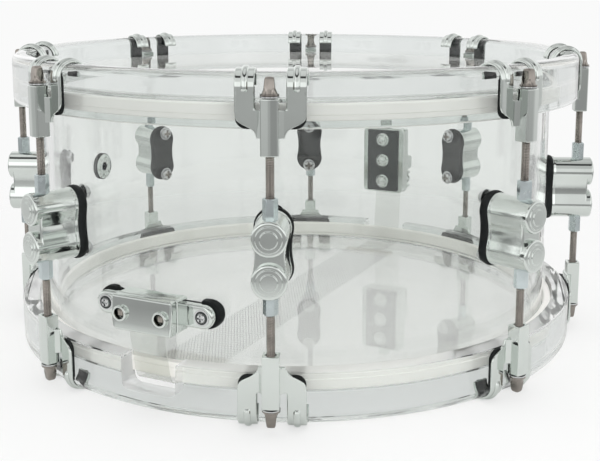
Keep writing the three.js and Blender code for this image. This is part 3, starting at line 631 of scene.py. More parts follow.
def flesh_mesh():
    """A flesh hoop: a rolled metal channel with a groove along its outer face, turned about the drum's axis."""
    low, high, groove = FLESH_BOTTOM, FLESH_TOP, 0.5
    inner, outer = FLESH_OUTER - size("flesh"), FLESH_OUTER
    corners = [(inner, low), (outer - groove, low), (outer - groove, low + 3.2), (outer, low + 3.6), (outer, high),
               (inner, high)]
    return solid("flesh_shape", spun(rounded(corners, [1.2, 1.0, 0.2, 0.2, 1.4, 1.2]), "up", (0, 0), SIDES))


class DRUM_OT_shell(Operator):
    """Clear acrylic shell with bearing edges and a vent hole"""

    bl_idname = "drum.shell"
    bl_label = "Shell"

    def execute(self, context):
        place(shell_mesh(), "acrylic_shell", "polished_acrylic", nodes=["shell"])
        return {"FINISHED"}


class DRUM_OT_hoops(Operator):
    """Clear acrylic hoops, the snare side one with a gate for each strap"""

    bl_idname = "drum.hoops"
    bl_label = "Hoops"

    def sand(self, mesh, gates):
        """Gives a hoop's flat rim and the walls of its gates a sanded finish: the faces at the rim's height that look
        up, and those inside a gate's width that look neither outwards, inwards nor down."""
        mesh.materials.append(finish("sanded_acrylic"))
        count = len(mesh.polygons)
        centre, normal = np.zeros(count * 3), np.zeros(count * 3)
        mesh.polygons.foreach_get("center", centre)
        mesh.polygons.foreach_get("normal", normal)
        centre, normal = centre.reshape(-1, 3) / MM, normal.reshape(-1, 3)
        angle = np.arctan2(centre[:, 0], -centre[:, 1])
        outward = normal[:, 0] * np.sin(angle) - normal[:, 1] * np.cos(angle)
        reach_across, sideways, upright = size("gate") + 0.6, 0.6, 0.9
        floor = MIDDLE - HOOP_TOP + size("gate_floor") - 1.0
        sanded = np.zeros(count, bool)
        for gate in gates:
            off = (angle - math.radians(gate) + np.pi) % (2 * np.pi) - np.pi
            sanded |= np.abs(off) * HOOP_OUTER < reach_across
        sanded &= (np.abs(outward) < sideways) & (centre[:, 2] > floor)
        rim = centre[:, 2] > MIDDLE - HOOP_BOTTOM - size("ease") / 2
        sanded = np.where(rim, normal[:, 2] > upright, sanded)
        mesh.polygons.foreach_set("material_index", sanded.astype(np.int32))

    def execute(self, context):
        place(hoop_mesh(), "acrylic_batter_hoop", "polished_hoop", nodes=["batter_hoop"])
        gates = sorted([-BUTT_ANGLE - GATE_TURN, -STRAINER_ANGLE - GATE_TURN])
        hoop = place(hoop_mesh(gates), "acrylic_snare_side_hoop", "polished_hoop", flip=True,
                     nodes=["snare_side_hoop"])
        self.sand(hoop.data, [BUTT_ANGLE + GATE_TURN, STRAINER_ANGLE + GATE_TURN])
        return {"FINISHED"}


class DRUM_OT_heads(Operator):
    """Clear films and their metal flesh hoops"""

    bl_idname = "drum.heads"
    bl_label = "Heads"

    def execute(self, context):
        film, flesh = film_mesh(), flesh_mesh()
        for side, flip in HEAD_SIDES:
            place(film, f"{side}_head_film", f"{side}_film", flip=flip, nodes=[f"{side}_head"])
            place(flesh, f"{side}_flesh_hoop", "flesh_aluminium", flip=flip)
        return {"FINISHED"}


# Lugs

def peanut(radius, waist, rise, steps=96):
    """An outline of two discs one above the other with a waist between: half width against height. The waist is
    an arc that is tangent to both discs, with its middle at the waist's own half width."""
    turn = np.arange(steps) * 2 * np.pi / steps
    up = (rise + radius) * np.cos(turn)
    neck = radius - waist
    middle = (rise ** 2 - neck ** 2) / (2 * neck)
    bend = middle - waist
    meet = rise * (1 - radius / (radius + bend))
    disc = np.sqrt(np.maximum(radius ** 2 - (np.abs(up) - rise) ** 2, 0))
    arc = middle - np.sqrt(bend ** 2 - np.minimum(np.abs(up), meet) ** 2)
    half = np.where(np.abs(up) > meet, disc, arc)
    return np.stack([np.where(np.sin(turn) >= 0, half, -half), up], 1)


def gasket_front():
    """Radius of the face that a lug's casting and its gasket share."""
    return SHELL_OUTER + size("gasket")


def casting_mesh():
    """A lug's casting: a waisted body that flares at its foot, its face drawn in to its middle line, and two
    turrets turned about spokes, each face rising to its middle in two steps."""
    radius, rise, face = size("turret"), size("turret_rise"), LUG_HIGH[1]
    foot, web, waist, ease = gasket_front(), face - 4.6, 8.35, 1.2
    outline = peanut(radius, waist, rise)
    turn = quarter(5)
    steps = [(foot, 0.3), (foot, -0.5), (foot + 0.9, -0.5), (foot + 2.4, 0.0)]
    steps += [(web - ease + ease * np.sin(a), ease - ease * np.cos(a)) for a in turn]
    rings = [np.insert(inset(outline, drawn), 1, out, axis=1) for out, drawn in steps]
    spine = [rings[0] * (0, 1, 0.8), *rings, rings[-1] * (0, 1, 1)]
    body = fold(np.array(spine), wrap_columns=True)
    one, two = 0.74 * radius, 0.49 * radius
    corners = [(0, web - 6), (radius, web - 6), (radius, face - 1.2), (one, face - 1.2), (one, face - 0.6),
               (two, face - 0.6), (two, face), (0, face)]
    profile = rounded(corners, [0, 0, 1.3, 0.35, 0.4, 0.35, 0.4, 0])
    turrets = [spun(profile, "out", (0, up), 72) for up in (-rise, rise)]
    return solid("casting_shape", body, *turrets)


def gasket_mesh():
    """A lug's gasket: a wider waisted outline between the shell's round wall and the casting, its rim rounded."""
    waist, rim, core = 10.2, 1.4, 6.0
    outline = peanut(size("turret") + 1.5, waist, size("turret_rise"))
    back, front = SHELL_OUTER + 0.15, gasket_front()
    turn = np.linspace(0, np.pi, 9)
    steps = [((1 - np.cos(a)) / 2, rim * (1 - np.sin(a))) for a in turn]
    rings = []
    for part, drawn in [(0, core), *steps, (1, core)]:
        ring = inset(outline, min(drawn, rim)) * (0.5 if drawn == core else 1)
        seat = np.sqrt(back ** 2 - ring[:, 0] ** 2)
        rings.append(np.stack([ring[:, 0], seat + (front - seat) * part, ring[:, 1]], 1))
    rings = [rings[0] * (0, 1, 1), *rings, rings[-1] * (0, 1, 1)]
    rings[0][:, 1] = back
    return solid("gasket_shape", fold(np.array(rings), wrap_columns=True))


def receivers_mesh():
    """Two hexagonal posts on the rods' axis: a bored profile whose outside passes into a hexagon."""
    width, bore, tip, root = 4.25, 2.85, LUG_HIGH[2], size("turret_rise") + 5
    corners = [(bore, root), (width, root), (width, tip - 0.5), (width - 0.7, tip), (bore + 0.4, tip),
               (bore, tip - 0.4)]
    profile = rounded(corners, [0, 0, 0.15, 0.15, 0.1, 0.1], 2)
    weight = np.clip((profile[:, 0] - bore - 0.45) / 0.5, 0, 1)
    post = spun(profile, "up", (0, ROD_CIRCLE), 72, hexagon, weight)
    return solid("receiver_shape", post, mirrored(post, (1, 1, -1)), crease=25)


def screw_patches(centre, seat, towards, radius=4.3, height=3.6, washer=5.4):
    """A pan head with a cross recess on its washer: a domed profile turned about a spoke, whose inner rows pass
    from circles into a cross that sinks towards the middle. The head stands from its seat in one direction."""
    rows = np.array([(0, 0.55, 0), (radius * 0.98, 0.55, 0), (radius, 0.75, 0), (radius, 0.5 * height, 0),
                     (radius * 0.95, 0.72 * height, 0), (radius * 0.86, 0.9 * height, 0),
                     (radius * 0.76, height, 0.0), (radius * 0.74, height, 1), (radius * 0.70, height - 0.25, 1),
                     (radius * 0.55, height - 1.7, 1), (0, height - 1.9, 1)])
    head = spun(standing(rows, seat, towards), "out", centre, 64, cross, rows[:, 2])
    ring = rectangle((1.5, 0), (washer, 0.6), [0, 0.15, 0.15, 0], 2)
    return [head, spun(standing(ring, seat, towards), "out", centre, 40)]


def recess_shade_patch(centre, seat, towards, radius=4.3, height=3.6):
    """Painted shade in a screw's cross recess: a thin cross, dark by the finish it is given, turned about a spoke."""
    arm, low, high = radius * 0.62, height - 1.6, height - 0.7
    rows = np.array([(0, low), (arm, low), (arm, high), (0, high)])
    return spun(standing(rows, seat, towards), "out", centre, 64, cross, np.ones(4))


def screw_meshes():
    """Two screws inside the shell that hold a lug, and dark crosses in their recesses as painted shade."""
    seat, spread = inner_wall() - 0.1, 17.5
    spots = [(0, -spread), (0, spread)]
    return (solid("screw_shape", *(patch for spot in spots for patch in screw_patches(spot, seat, -1))),
            solid("screw_recess_shape", *(recess_shade_patch(spot, seat, -1) for spot in spots)))


class DRUM_OT_lugs(Operator):
    """Turret lugs with their gaskets, receivers and mounting screws"""

    bl_idname = "drum.lugs"
    bl_label = "Lugs"

    def execute(self, context):
        casting = casting_mesh()
        screws, recesses = screw_meshes()
        parts = [(gasket_mesh(), "gasket", "matt_rubber", "black_rubber"),
                 (receivers_mesh(), "receivers", "receiver_steel", "chrome"),
                 (screws, "screws", "bright_steel", "chrome"),
                 # The crosses in the screw recesses are dark nickel: painted shade.
                 (recesses, "screw_recesses", "dark_nickel", "rod_steel")]
        for number, angle in enumerate(STATIONS, 1):
            place(casting, f"lug_casting_{number}", "chrome_plate", angle, nodes=[f"lug_{number}"])
            for mesh, part, look, slot in parts:
                place(mesh, f"lug_{part}_{number}", look, angle)
        return {"FINISHED"}


# Claws and rods

# Distances along a claw's plate from its foot to its slot and its ribs, and the length of its round ends
CLAW_SLOT, CLAW_RIB, CLAW_NOSE = 14.4, 25.0, 0.85


def claw_track(metal):
    """The middle line of a claw's plate: up its face, over the hoop and down to its tips, as a function that
    gives the place and the outward normal at distances along it, and the distances where its stretches end."""
    face = HOOP_OUTER + 3.3 - size("rib") - metal / 2
    top = CLAW_HIGH[2] - size("rib") - metal / 2
    tip = CLAW_LOW[1] + metal / 2
    end, bend = HOOP_TOP - 7.4, (face - tip) / 2 - 0.05
    path = bent([(face, CLAW_FOOT), (face, top), (tip, top), (tip, end)], [bend, bend], 32)
    far = np.r_[0, np.cumsum(np.linalg.norm(np.diff(path, axis=0), axis=1))]
    turn = np.unwrap(np.arctan2(*np.gradient(path, axis=0).T[::-1]))

    def at(run):
        """Place and outward normal at distances along the line."""
        angle = np.interp(run, far, turn)
        spot = np.stack([np.interp(run, far, path[:, 0]), np.interp(run, far, path[:, 1])], -1)
        return spot, np.stack([np.sin(angle), -np.cos(angle)], -1)
    straight = top - bend - CLAW_FOOT
    return at, np.array([0, straight, straight + bend * np.pi + 0.1, far[-1]])


def claw_outline(up):
    """Inner and outer half width of a claw's plate at heights: a foot that swells into two forks by a logistic
    step, and a slot whose floor is the low end of a superellipse."""
    half, fork = CLAW_HIGH[0], size("fork")
    slot = half - fork
    shoulder, swell = HOOP_BOTTOM + 2.0, 1.35
    slot_top, slot_round = HOOP_BOTTOM + 12.4, 2.6
    foot = 7.6 + 0.10 * np.clip(up - CLAW_FOOT, 0, 6)
    out = foot + (half - foot) / (1 + np.exp((shoulder - up) / swell))
    depth = np.clip((slot_top - up) / slot_round, 0, 1)
    inner = slot * (1 - depth ** 4) ** 0.25
    return inner, out


def claw_rows(stops):
    """Distances along a claw's plate, close together at its ends, its slot, its ribs and its bends."""
    slot, rib = CLAW_SLOT, CLAW_RIB
    ends = CLAW_NOSE * (1 - np.cos(quarter(5)))
    parts = [ends, np.linspace(1.0, slot - 0.4, 22), slot + 2.6 * (1 - np.cos(quarter(9))),
             np.linspace(slot + 3.2, rib - 2.0, 5), np.linspace(rib - 1.6, rib + 0.2, 8),
             np.linspace(rib + 1.0, stops[1], 4), np.linspace(stops[1], stops[2], 33)[1:-1],
             np.linspace(stops[2], stops[3] - 1.0, 3), stops[3] - ends[::-1]]
    return np.concatenate(parts)


def plate_half(spot, normal, inner, outer, front, back, columns, edge):
    """One half of a claw's plate or liner: at each row a closed section from inner to outer, front and back being
    the heights of its faces over the middle line, with round edges. Sections that start on the middle plane are
    left open there for the other half."""
    turn = np.linspace(np.pi / 2, -np.pi / 2, 7)[1:-1]
    left = np.minimum(edge, inner)[:, None]
    right = edge[:, None]
    wide = (outer - inner)[:, None] - left - right
    flat = inner[:, None] + left + columns * wide
    rear = np.linspace(1, 0, 7)
    middle, thick = (front[:, [0, -1]] + back[:, None]) / 2, (front[:, [0, -1]] - back[:, None]) / 2
    across = np.hstack([flat, outer[:, None] - right + right * np.cos(turn), inner[:, None] + left + rear * wide,
                        inner[:, None] + left - left * np.cos(turn)])
    height = np.hstack([front, middle[:, 1:] + thick[:, 1:] * np.sin(turn), np.repeat(back[:, None], 7, 1),
                        middle[:, :1] - thick[:, :1] * np.sin(turn)])
    grid = np.stack([across, spot[:, :1] + normal[:, :1] * height, spot[:, 1:] + normal[:, 1:] * height], -1)
    first = grid[:1] * 1.0
    last = grid[-1:] * 1.0
    first[..., 1:] = spot[0]
    last[..., 1:] = spot[-1]
    points, quads = fold(np.concatenate([first, grid, last]), wrap_columns=True)
    return points, quads[~np.all(np.abs(points[quads][:, :, 0]) < 1e-6, axis=1)]


def claw_mesh():
    """A claw: a plate bent over the hoop, with a rounded rib along each fork, a sleeve for the rod and a wedge-shaped
    web on each side of it. The rib is half an ellipse across and round at its low end: its height falls with the
    distance from its middle line."""
    metal, fork = size("metal"), size("fork")
    at, stops = claw_track(metal)
    run = claw_rows(stops)
    spot, normal = at(run)
    up = np.where(run < stops[1], spot[:, 1], HOOP_TOP)
    inner, outer = claw_outline(up)
    middle, width = CLAW_HIGH[0] - fork / 2, 1.9
    ends = np.minimum(run, stops[3] - run)
    thick = metal / 2 * np.sqrt(1 - np.clip(1 - ends / CLAW_NOSE, 0, 1) ** 2)
    edge = np.maximum(thick, 0.05) * 0.9
    wanted = middle + width * np.array([-1.001, -0.97, -0.85, -0.6, -0.3, 0, 0.3, 0.6, 0.85, 0.97, 1.001])
    margin = 0.77
    start, stop = CLAW_HIGH[0] - fork + margin, CLAW_HIGH[0] - margin
    columns = np.concatenate([[0, 0.12], (wanted - start) / (stop - start), [0.88, 1]])
    left = np.minimum(edge, inner)
    flat = (inner + left)[:, None] + columns * (outer - inner - left - edge)[:, None]
    rib_low, rib_high = CLAW_RIB + width, stops[2] - 1.0
    beyond = np.maximum(np.maximum(rib_low - run, run - rib_high), 0)[:, None]
    off = np.hypot(flat - middle, beyond) / width
    rib = size("rib") * np.sqrt(np.clip(1 - off ** 2, 0, 1))
    half = plate_half(spot, normal, inner, outer, thick[:, None] + rib, -thick, columns, edge)
    sleeve_low, sleeve_high, bore, girth = CLAW_LOW[2], ROD_SEAT - 0.3, 3.2, 4.85
    profile = rectangle((bore, sleeve_low), (girth, sleeve_high), [0.3, 0.7, 0.7, 0.3])
    weight = np.clip((profile[:, 0] - bore - 0.35) / 0.6, 0, 1)
    depth = (ROD_CIRCLE - spot[0, 0]) / girth

    def stem(angle):
        """Five flats in a rounded polygon: two in front that meet in a shallow ridge, two sides and a back."""
        flats = [(80, 1.0), (100, 1.0), (0, 1.0), (180, 1.0), (270, depth)]
        lean = [np.maximum(np.cos(angle - math.radians(way)), 0) / far for way, far in flats]
        return sum(part ** 30 for part in lean) ** (-1 / 30)
    sleeve = spun(profile, "up", (0, ROD_CIRCLE), 120, stem, weight)
    back, web_inner, web_outer, web_deep = spot[0, 0], bore + 0.5, 8.0, 3.4
    front = back + web_deep
    wedge = rounded([(web_inner, back), (web_outer, back), (girth - 0.3, front), (web_inner, front)], 0.25, 3)
    web = slab(wedge, HOOP_BOTTOM - 4.4, HOOP_BOTTOM + 10.6, 0.3, "up")
    return solid("claw_shape", half, mirrored(half), sleeve, web, mirrored(web))


def liner_mesh():
    """A claw's liner: as wide as the claw's forks, its low corners rounded on the hoop's edge, its back on the
    hoop's round wall, over the hoop's top and down its inner wall."""
    metal, liner = size("metal"), size("liner")
    at, stops = claw_track(metal)
    low, corner, columns = HOOP_BOTTOM + 0.4, 6.0, np.linspace(0, 1, 15)
    start = low - CLAW_FOOT
    rows = claw_rows(stops)[:-3]
    run = np.concatenate([start + corner * (1 - np.cos(quarter(12))), rows[rows > start + corner + 0.2]])
    spot, normal = at(run)
    up = np.where(run < stops[1], spot[:, 1], HOOP_TOP)
    inner = np.maximum(claw_outline(up)[0] - 0.1, 0)
    outer = CLAW_HIGH[0] - 0.25 - corner * (1 - (1 - np.clip((low + corner - up) / corner, 0, 1) ** 2) ** 0.5)
    drawn = 0.7 * (run > stops[1])
    front = np.full((len(run), len(columns)), -metal / 2 + 0.12)
    back = np.full(len(run), -metal / 2 - liner)
    edge = np.full(len(run), 0.3)
    points, quads = plate_half(spot, normal, inner + drawn, outer - drawn, front, back, columns, edge)
    outward, up = points[:, 1], points[:, 2]
    facing = (up < HOOP_TOP - size("crown")) & (outward < spot[0, 0] - metal / 2 - 0.3) & (outward > HOOP_OUTER - 5)
    points[:, 1] = np.where(facing, np.sqrt((HOOP_OUTER + 0.06) ** 2 - points[:, 0] ** 2), outward)
    return solid("liner_shape", (points, quads), mirrored((points, quads)))


def rod_mesh():
    """A tension rod: a threaded bar whose radius falls along a helix, and a head that passes from a round flange
    by a bell into a square key with a domed end."""
    radius, pitch, depth = size("rod") / 2, size("pitch"), size("thread")
    tip, plain = ROD_LOW[2], ROD_SEAT - 27.5
    turns = np.arange(tip + 1.2, plain - 0.5, pitch / 6)
    up = np.concatenate([[tip, tip + 0.8], turns, [plain, ROD_SEAT + 1.0]])[:, None]
    angle = np.arange(18) * 2 * np.pi / 18
    wave = np.abs(((up / pitch - angle / (2 * np.pi)) % 1) - 0.5) * 2
    cut = depth * smooth((plain - up) / 1.5) * wave
    bar = radius - cut - np.where(up < tip + 0.5, 0.7, 0)
    shank = capped(np.stack([bar * np.cos(angle), ROD_CIRCLE + bar * np.sin(angle), up + 0 * angle], -1))
    rows = np.array([(0, 0.9, 0), (4.9, 0.9, 0), (5.15, 1.1, 0), (5.15, 1.75, 0), (4.9, 2.0, 0), (4.35, 2.15, 0),
                     (4.05, 2.7, 0.05), (3.75, 3.4, 0.2), (3.4, 4.2, 0.5), (3.15, 5.0, 0.85), (3.0, 5.8, 1),
                     (2.62, 9.4, 0.9), (2.5, 10.1, 0.8), (2.2, 10.7, 0.7), (1.6, 11.0, 0.5), (0.8, 11.1, 0.3),
                     (0, 11.13, 0)])
    head = spun(standing(rows, ROD_SEAT), "up", (0, ROD_CIRCLE), 64, square, rows[:, 2])
    return solid("rod_shape", shank, head)


def washer_mesh():
    """A rod's washer: a flat ring with eased edges."""
    ring = rectangle((2.7, ROD_SEAT), (5.3, ROD_SEAT + 0.85), 0.25)
    return solid("washer_shape", spun(ring, "up", (0, ROD_CIRCLE), 48))


class DRUM_OT_claws(Operator):
    """Two-forked claws over both hoops with their rubber liners"""

    bl_idname = "drum.claws"
    bl_label = "Claws"

    def execute(self, context):
        claw, liner = claw_mesh(), liner_mesh()
        for side, flip in HEAD_SIDES:
            for number, angle in enumerate(STATIONS, 1):
                place(claw, f"{side}_claw_casting_{number}", "chrome_plate", angle, flip,
                      nodes=[f"{side}_claw_{number}"])
                place(liner, f"{side}_claw_liner_{number}", "matt_rubber", angle, flip)
        return {"FINISHED"}


class DRUM_OT_rods(Operator):
    """Tension rods and their washers"""

    bl_idname = "drum.rods"
    bl_label = "Tension rods"

    def execute(self, context):
        rod, washer = rod_mesh(), washer_mesh()
        for side, flip in HEAD_SIDES:
            for number, angle in enumerate(STATIONS, 1):
                body = f"{side}_tension_rod_{number}"
                place(rod, f"{side}_rod_{number}", "dark_nickel", angle, flip, body, [body])
                place(washer, f"{side}_rod_washer_{number}", "bright_steel", angle, flip, body)
        return {"FINISHED"}


# Snare wires and straps

def strand_patches(count, spacing, half, level):
    """Coiled strands side by side: a helix along the drum's width carried with a three-sided section, whose sides
    lie between the helix's own radius and the strand's direction. Each strand's turns lag behind its neighbour's."""
    pitch, wire = size("coil"), size("wire") / 2
    girth, lag, per_turn = 0.56, 0.52, 10
    steps = int(2 * half / pitch * per_turn)
    along = np.linspace(-half, half, steps)[None, :, None]
    turn = 2 * np.pi * along / pitch + lag * np.arange(count)[:, None, None]
    side = np.arange(3)[None, None] * 2 * np.pi / 3
    across = (np.arange(count) - (count - 1) / 2)[:, None, None] * spacing
    radius = girth - wire / 2 + wire * np.cos(side)
    grid = np.stack([across + radius * np.cos(turn), along + wire * np.sin(side) + 0 * turn,
                     level - radius * np.sin(turn)], -1)
    number = np.arange(count * steps * 3).reshape(count, steps, 3)
    number = np.concatenate([number, number[:, :, :1]], 2)
    quads = np.stack([number[:, :-1, :-1], number[:, :-1, 1:], number[:, 1:, 1:], number[:, 1:, :-1]], -1)
    return grid.reshape(-1, 3), quads.reshape(-1, 4)


def snare_meshes():
    """The snare wires: twenty strands, and two end plates with rolled edges."""
    wide, half, top = reach("snare_wires", STRAINER_ANGLE)[1]
    level, deep = top - 0.7, 7.0
    strands = strand_patches(count=20, spacing=2.05, half=half - 1.5, level=level)
    bead = rectangle((0, -wide + 1), (0.75, wide - 1), [0, 0.5, 0.5, 0], 3)
    plates = []
    for end in (-1, 1):
        middle = end * (half - deep)
        outline = rectangle((-wide, middle - deep), (wide, middle + deep), 2.0)
        plates.append(slab(outline, level - 1.0, level - 0.3, 0.3, "up"))
        plates += [spun(bead, "across", (middle + edge, level - 0.65), 16) for edge in (1 - deep, deep - 1)]
    return solid("strand_shape", strands), solid("end_plate_shape", *plates)


def strap_mesh(clamp, angle):
    """A snare strap: a thin rounded strip carried from the wires' end plate, out through its gate and up into its
    clamp."""
    grip_low, grip_high = reach(clamp, angle)
    strap_low, strap_high = reach("butt_strap", BUTT_ANGLE)
    wide, level = strap_high[0], strap_low[2] + 0.35
    seat = grip_low[1] - 0.65
    path = bent([(strap_low[1], level), (seat - 6.5, level), (seat - 4.0, level + 6.5), (seat, grip_low[2] - 6),
                 (seat, grip_high[2] - 0.5)], [5.0, 5.0, 8.0])
    thin = 0.3
    section = rectangle((-wide, -thin), (wide, thin), 0.25, 3)
    return solid("strap_shape", carried(section, path))


class DRUM_OT_snares(Operator):
    """Snare wires and their straps"""

    bl_idname = "drum.snares"
    bl_label = "Snare wires"

    def execute(self, context):
        strands, plates = snare_meshes()
        place(strands, "snare_strands", "snare_wire", STRAINER_ANGLE, body="snare_wires",
              nodes=["snare_wires"])
        place(plates, "snare_end_plates", "tinned_plate", STRAINER_ANGLE, body="snare_wires")
        place(strap_mesh("butt_clamp", BUTT_ANGLE), "butt_strap_strip", "clear_strap", BUTT_ANGLE,
              nodes=["butt_strap"])
        place(strap_mesh("strainer_clamp", STRAINER_ANGLE), "strainer_strap_strip", "clear_strap",
              STRAINER_ANGLE, body="strainer_slide", nodes=["strainer_strap"])
        return {"FINISHED"}


# Clamps and butt end

# Rings of a clamp's recess: radius and depth, level from the rim outwards
RECESS = np.array([0, 1.6, 3.2, 3.9, 4.2, 4.5, 4.7, 4.9, 5.1])
RECESS_DEPTH = np.array([3.0, 3.0, 3.0, 3.0, 2.7, 0.35, 0.0, 0.0, 0.0])
RECESS_RIM = 4.7


def clamp_patches(low, high, spread, chamfer=0.0, lean=0.0):
    """A clamp plate with two round recesses: a grid over the plate whose square rings about each bolt pass into
    circles and sink, with eased edges back to its rear face. A chamfer cuts the lower left corner, and the face may
    lean back towards its top."""
    middle = (low[2] + high[2]) / 2
    ease, least = 1.2, 0.3
    x0, x1, z0, z1 = low[0] + ease, high[0] - ease, low[2] + ease, high[2] - ease
    rings = np.r_[-RECESS[:0:-1], RECESS]

    def fits(lines, first, last):
        """The grid lines between two edges, with the edges themselves."""
        return np.unique(np.r_[first, lines[(lines > first + least) & (lines < last - least)], last])

    across = fits(np.r_[rings - spread, 0, rings + spread], x0, x1)
    up = fits(rings + middle, z0, z1)
    x, z = np.meshgrid(across, up)
    depth = np.zeros_like(x)
    for bolt in (-spread, spread):
        dx, dz = x - bolt, z - middle
        ring = np.maximum(np.abs(dx), np.abs(dz))
        far = np.maximum(np.hypot(dx, dz), 1e-9)
        fade = np.clip((ring - RECESS_RIM) / (RECESS[-1] - RECESS_RIM), 0, 1)
        factor = np.where(ring < RECESS[-1] - 1e-6, ring / far * (1 - fade) + fade, 1)
        x, z = bolt + dx * factor, middle + dz * factor
        depth = np.maximum(depth, np.interp(ring, RECESS, RECESS_DEPTH))
    grid = np.stack([x, high[1] - depth, z], -1)
    edge = np.concatenate([grid[0, :-1], grid[:-1, -1], grid[-1, :0:-1], grid[:0:-1, 0]])
    centre = np.array([(low[0] + high[0]) / 2, 0, middle])
    away = np.stack([np.clip((edge[:, 0] - x0) / (x1 - x0) * 2 - 1, -1, 1), 0 * edge[:, 0],
                     np.clip((edge[:, 2] - z0) / (z1 - z0) * 2 - 1, -1, 1)], 1)
    push = np.where(np.abs(away) > 0.999, np.sign(away), 0) * ease
    push[(np.abs(push) > 0).sum(1) == 2] *= 0.75
    turn = quarter(5)
    loops = [edge + push * np.sin(a) + (0, -ease * (1 - np.cos(a)), 0) for a in turn]
    rear = loops[-1].copy()
    rear[:, 1] = low[1] + 0.5
    drawn = rear - push * 0.4
    drawn[:, 1] = low[1]
    loops += [rear, drawn, np.broadcast_to(centre + (0, low[1], 0), edge.shape)]
    loops = np.array(loops)
    for part in (grid, loops):
        part[..., 1] -= lean * (part[..., 2] - middle) * (part[..., 1] - low[1]) / (high[1] - low[1])
        if chamfer:
            over = np.maximum(0, chamfer - (part[..., 0] - low[0]) - (part[..., 2] - low[2]))
            part[..., 0] += over / 2
            part[..., 2] += over / 2
    return [fold(grid), fold(loops, wrap_columns=True)]


def place_clamp(side, spread, angle, body="drum", **form):
    """A clamp plate, and in each of its two recesses a square key bolt with a domed end on a round washer, inside
    a socket that stands on the plate's face. The washers are satin black: painted shade in the sockets."""
    thick, half, top = 6.0, 1.9, 3.6
    low, high = reach(f"{side}_clamp", angle)
    high[1] = low[1] + thick
    middle, floor = (low[2] + high[2]) / 2, high[1] - RECESS_DEPTH[0]
    bolt = np.array([(0, 0.2, 1), (half, 0.2, 1), (half, top - 0.5, 1), (half * 0.8, top - 0.12, 0.9), (0, top, 0)])
    washer = rounded([(0, 0.05), (3.3, 0.05), (3.3, 0.9), (2.9, 0.9), (2.7, 0.5), (0, 0.5)],
                     [0, 0, 0.2, 0.1, 0.1, 0])
    socket = rectangle((3.3, -0.6), (4.6, 2.2), [0, 0, 0.5, 0.4])

    def pair(rows, seat, *shape):
        """One profile turned about both bolts' middles."""
        return [spun(standing(rows, seat), "out", (way * spread, middle), 48, *shape) for way in (-1, 1)]

    parts = [("clamp_plate", clamp_patches(low, high, spread, **form), "chrome_plate", "chrome", [f"{side}_clamp"]),
             ("bolts", pair(bolt, floor, square, bolt[:, 2]), "dark_nickel", "chrome", ()),
             # Satin black washers: painted shade round the bolts inside their sockets.
             ("bolt_washers", pair(washer, floor), "satin_black", "black_plate", ()),
             ("bolt_sockets", pair(socket, high[1]), "chrome_plate", "chrome", ())]
    for part, patches, look, slot, nodes in parts:
        place(solid(f"{side}_{part}_shape", *patches), f"{side}_{part}", look, angle, body=body, nodes=nodes)


class DRUM_OT_butt(Operator):
    """Butt end: gasket, base with ears and screws, clamp plate and key bolts"""

    bl_idname = "drum.butt"
    bl_label = "Butt end"

    def execute(self, context):
        clamp_low, clamp_high = reach("butt_clamp", BUTT_ANGLE)
        back = reach("butt_gasket", BUTT_ANGLE)[1][1]
        middle = (clamp_low[2] + clamp_high[2]) / 2
        block, ear = clamp_low[1] - 0.7, back + 5.3
        half, tall = clamp_high[0], (clamp_high[2] - clamp_low[2]) / 2
        ears, lobe = 33.0, 7.0
        spots = [(-ears, middle), (ears, middle)]
        tab = rectangle((-ears - lobe, middle - lobe), (ears + lobe, middle + lobe), 6.9, 8)
        body = [slab(tab, back, ear, 1.6),
                slab(rectangle((-half, middle - tall), (half, middle + tall), 1.5), back, block, 0.8)]
        place(solid("butt_base_shape", *body), "butt_base_casting", "chrome_plate", BUTT_ANGLE,
              nodes=["butt_base"])
        seat = math.sqrt((inner_wall() - 0.1) ** 2 - ears ** 2) - 0.4
        screws = [patch for spot in spots for patch in screw_patches(spot, ear - 0.1, 1, 2.8, 1.9, 4.9)]
        screws += [patch for spot in spots for patch in screw_patches(spot, seat, -1, 4.0, 2.6, 5.2)]
        place(solid("butt_screw_shape", *screws), "butt_screws", "bright_steel", BUTT_ANGLE)
        # Painted shade in satin black: a ring round the base of each ear screw's head, and a cross in each inner
        # screw's recess.
        ring = rectangle((2.9, ear + 0.4), (3.9, ear + 0.75), 0.1)
        dark = [spun(ring, "out", spot) for spot in spots]
        dark += [recess_shade_patch(spot, seat, -1, 4.0, 2.6) for spot in spots]
        place(solid("butt_recess_shape", *dark), "butt_screw_recesses", "satin_black", BUTT_ANGLE)
        place(self.gasket(ears, middle, back), "butt_gasket_pad", "matt_rubber", BUTT_ANGLE,
              nodes=["butt_gasket"])
        place_clamp("butt", 13.6, BUTT_ANGLE, chamfer=4.0, lean=0.10)
        return {"FINISHED"}

    def gasket(self, ears, middle, front):
        """A pad between the shell's round wall and the base, with a round lobe behind each ear and a narrower neck."""
        wide, tip, neck, tall = ears + 8.5, ears - 3.0, 6.0, 8.5
        right = np.array([(tip - 1.5, -neck), (tip, -tall), (wide, -tall), (wide, tall), (tip, tall),
                          (tip - 1.5, neck)])
        bends = [0.5, 1.2, 8.3, 8.3, 1.2, 0.5]
        pad = rounded(np.vstack([right, -right]) + (0, middle), bends * 2, 8)
        wall = SHELL_OUTER + 0.15
        return solid("butt_gasket_shape", slab(pad, wall, front, 0.9, seat=wall, spine=middle))


# Strainer and vent

BACKING_PLATE = 3.0


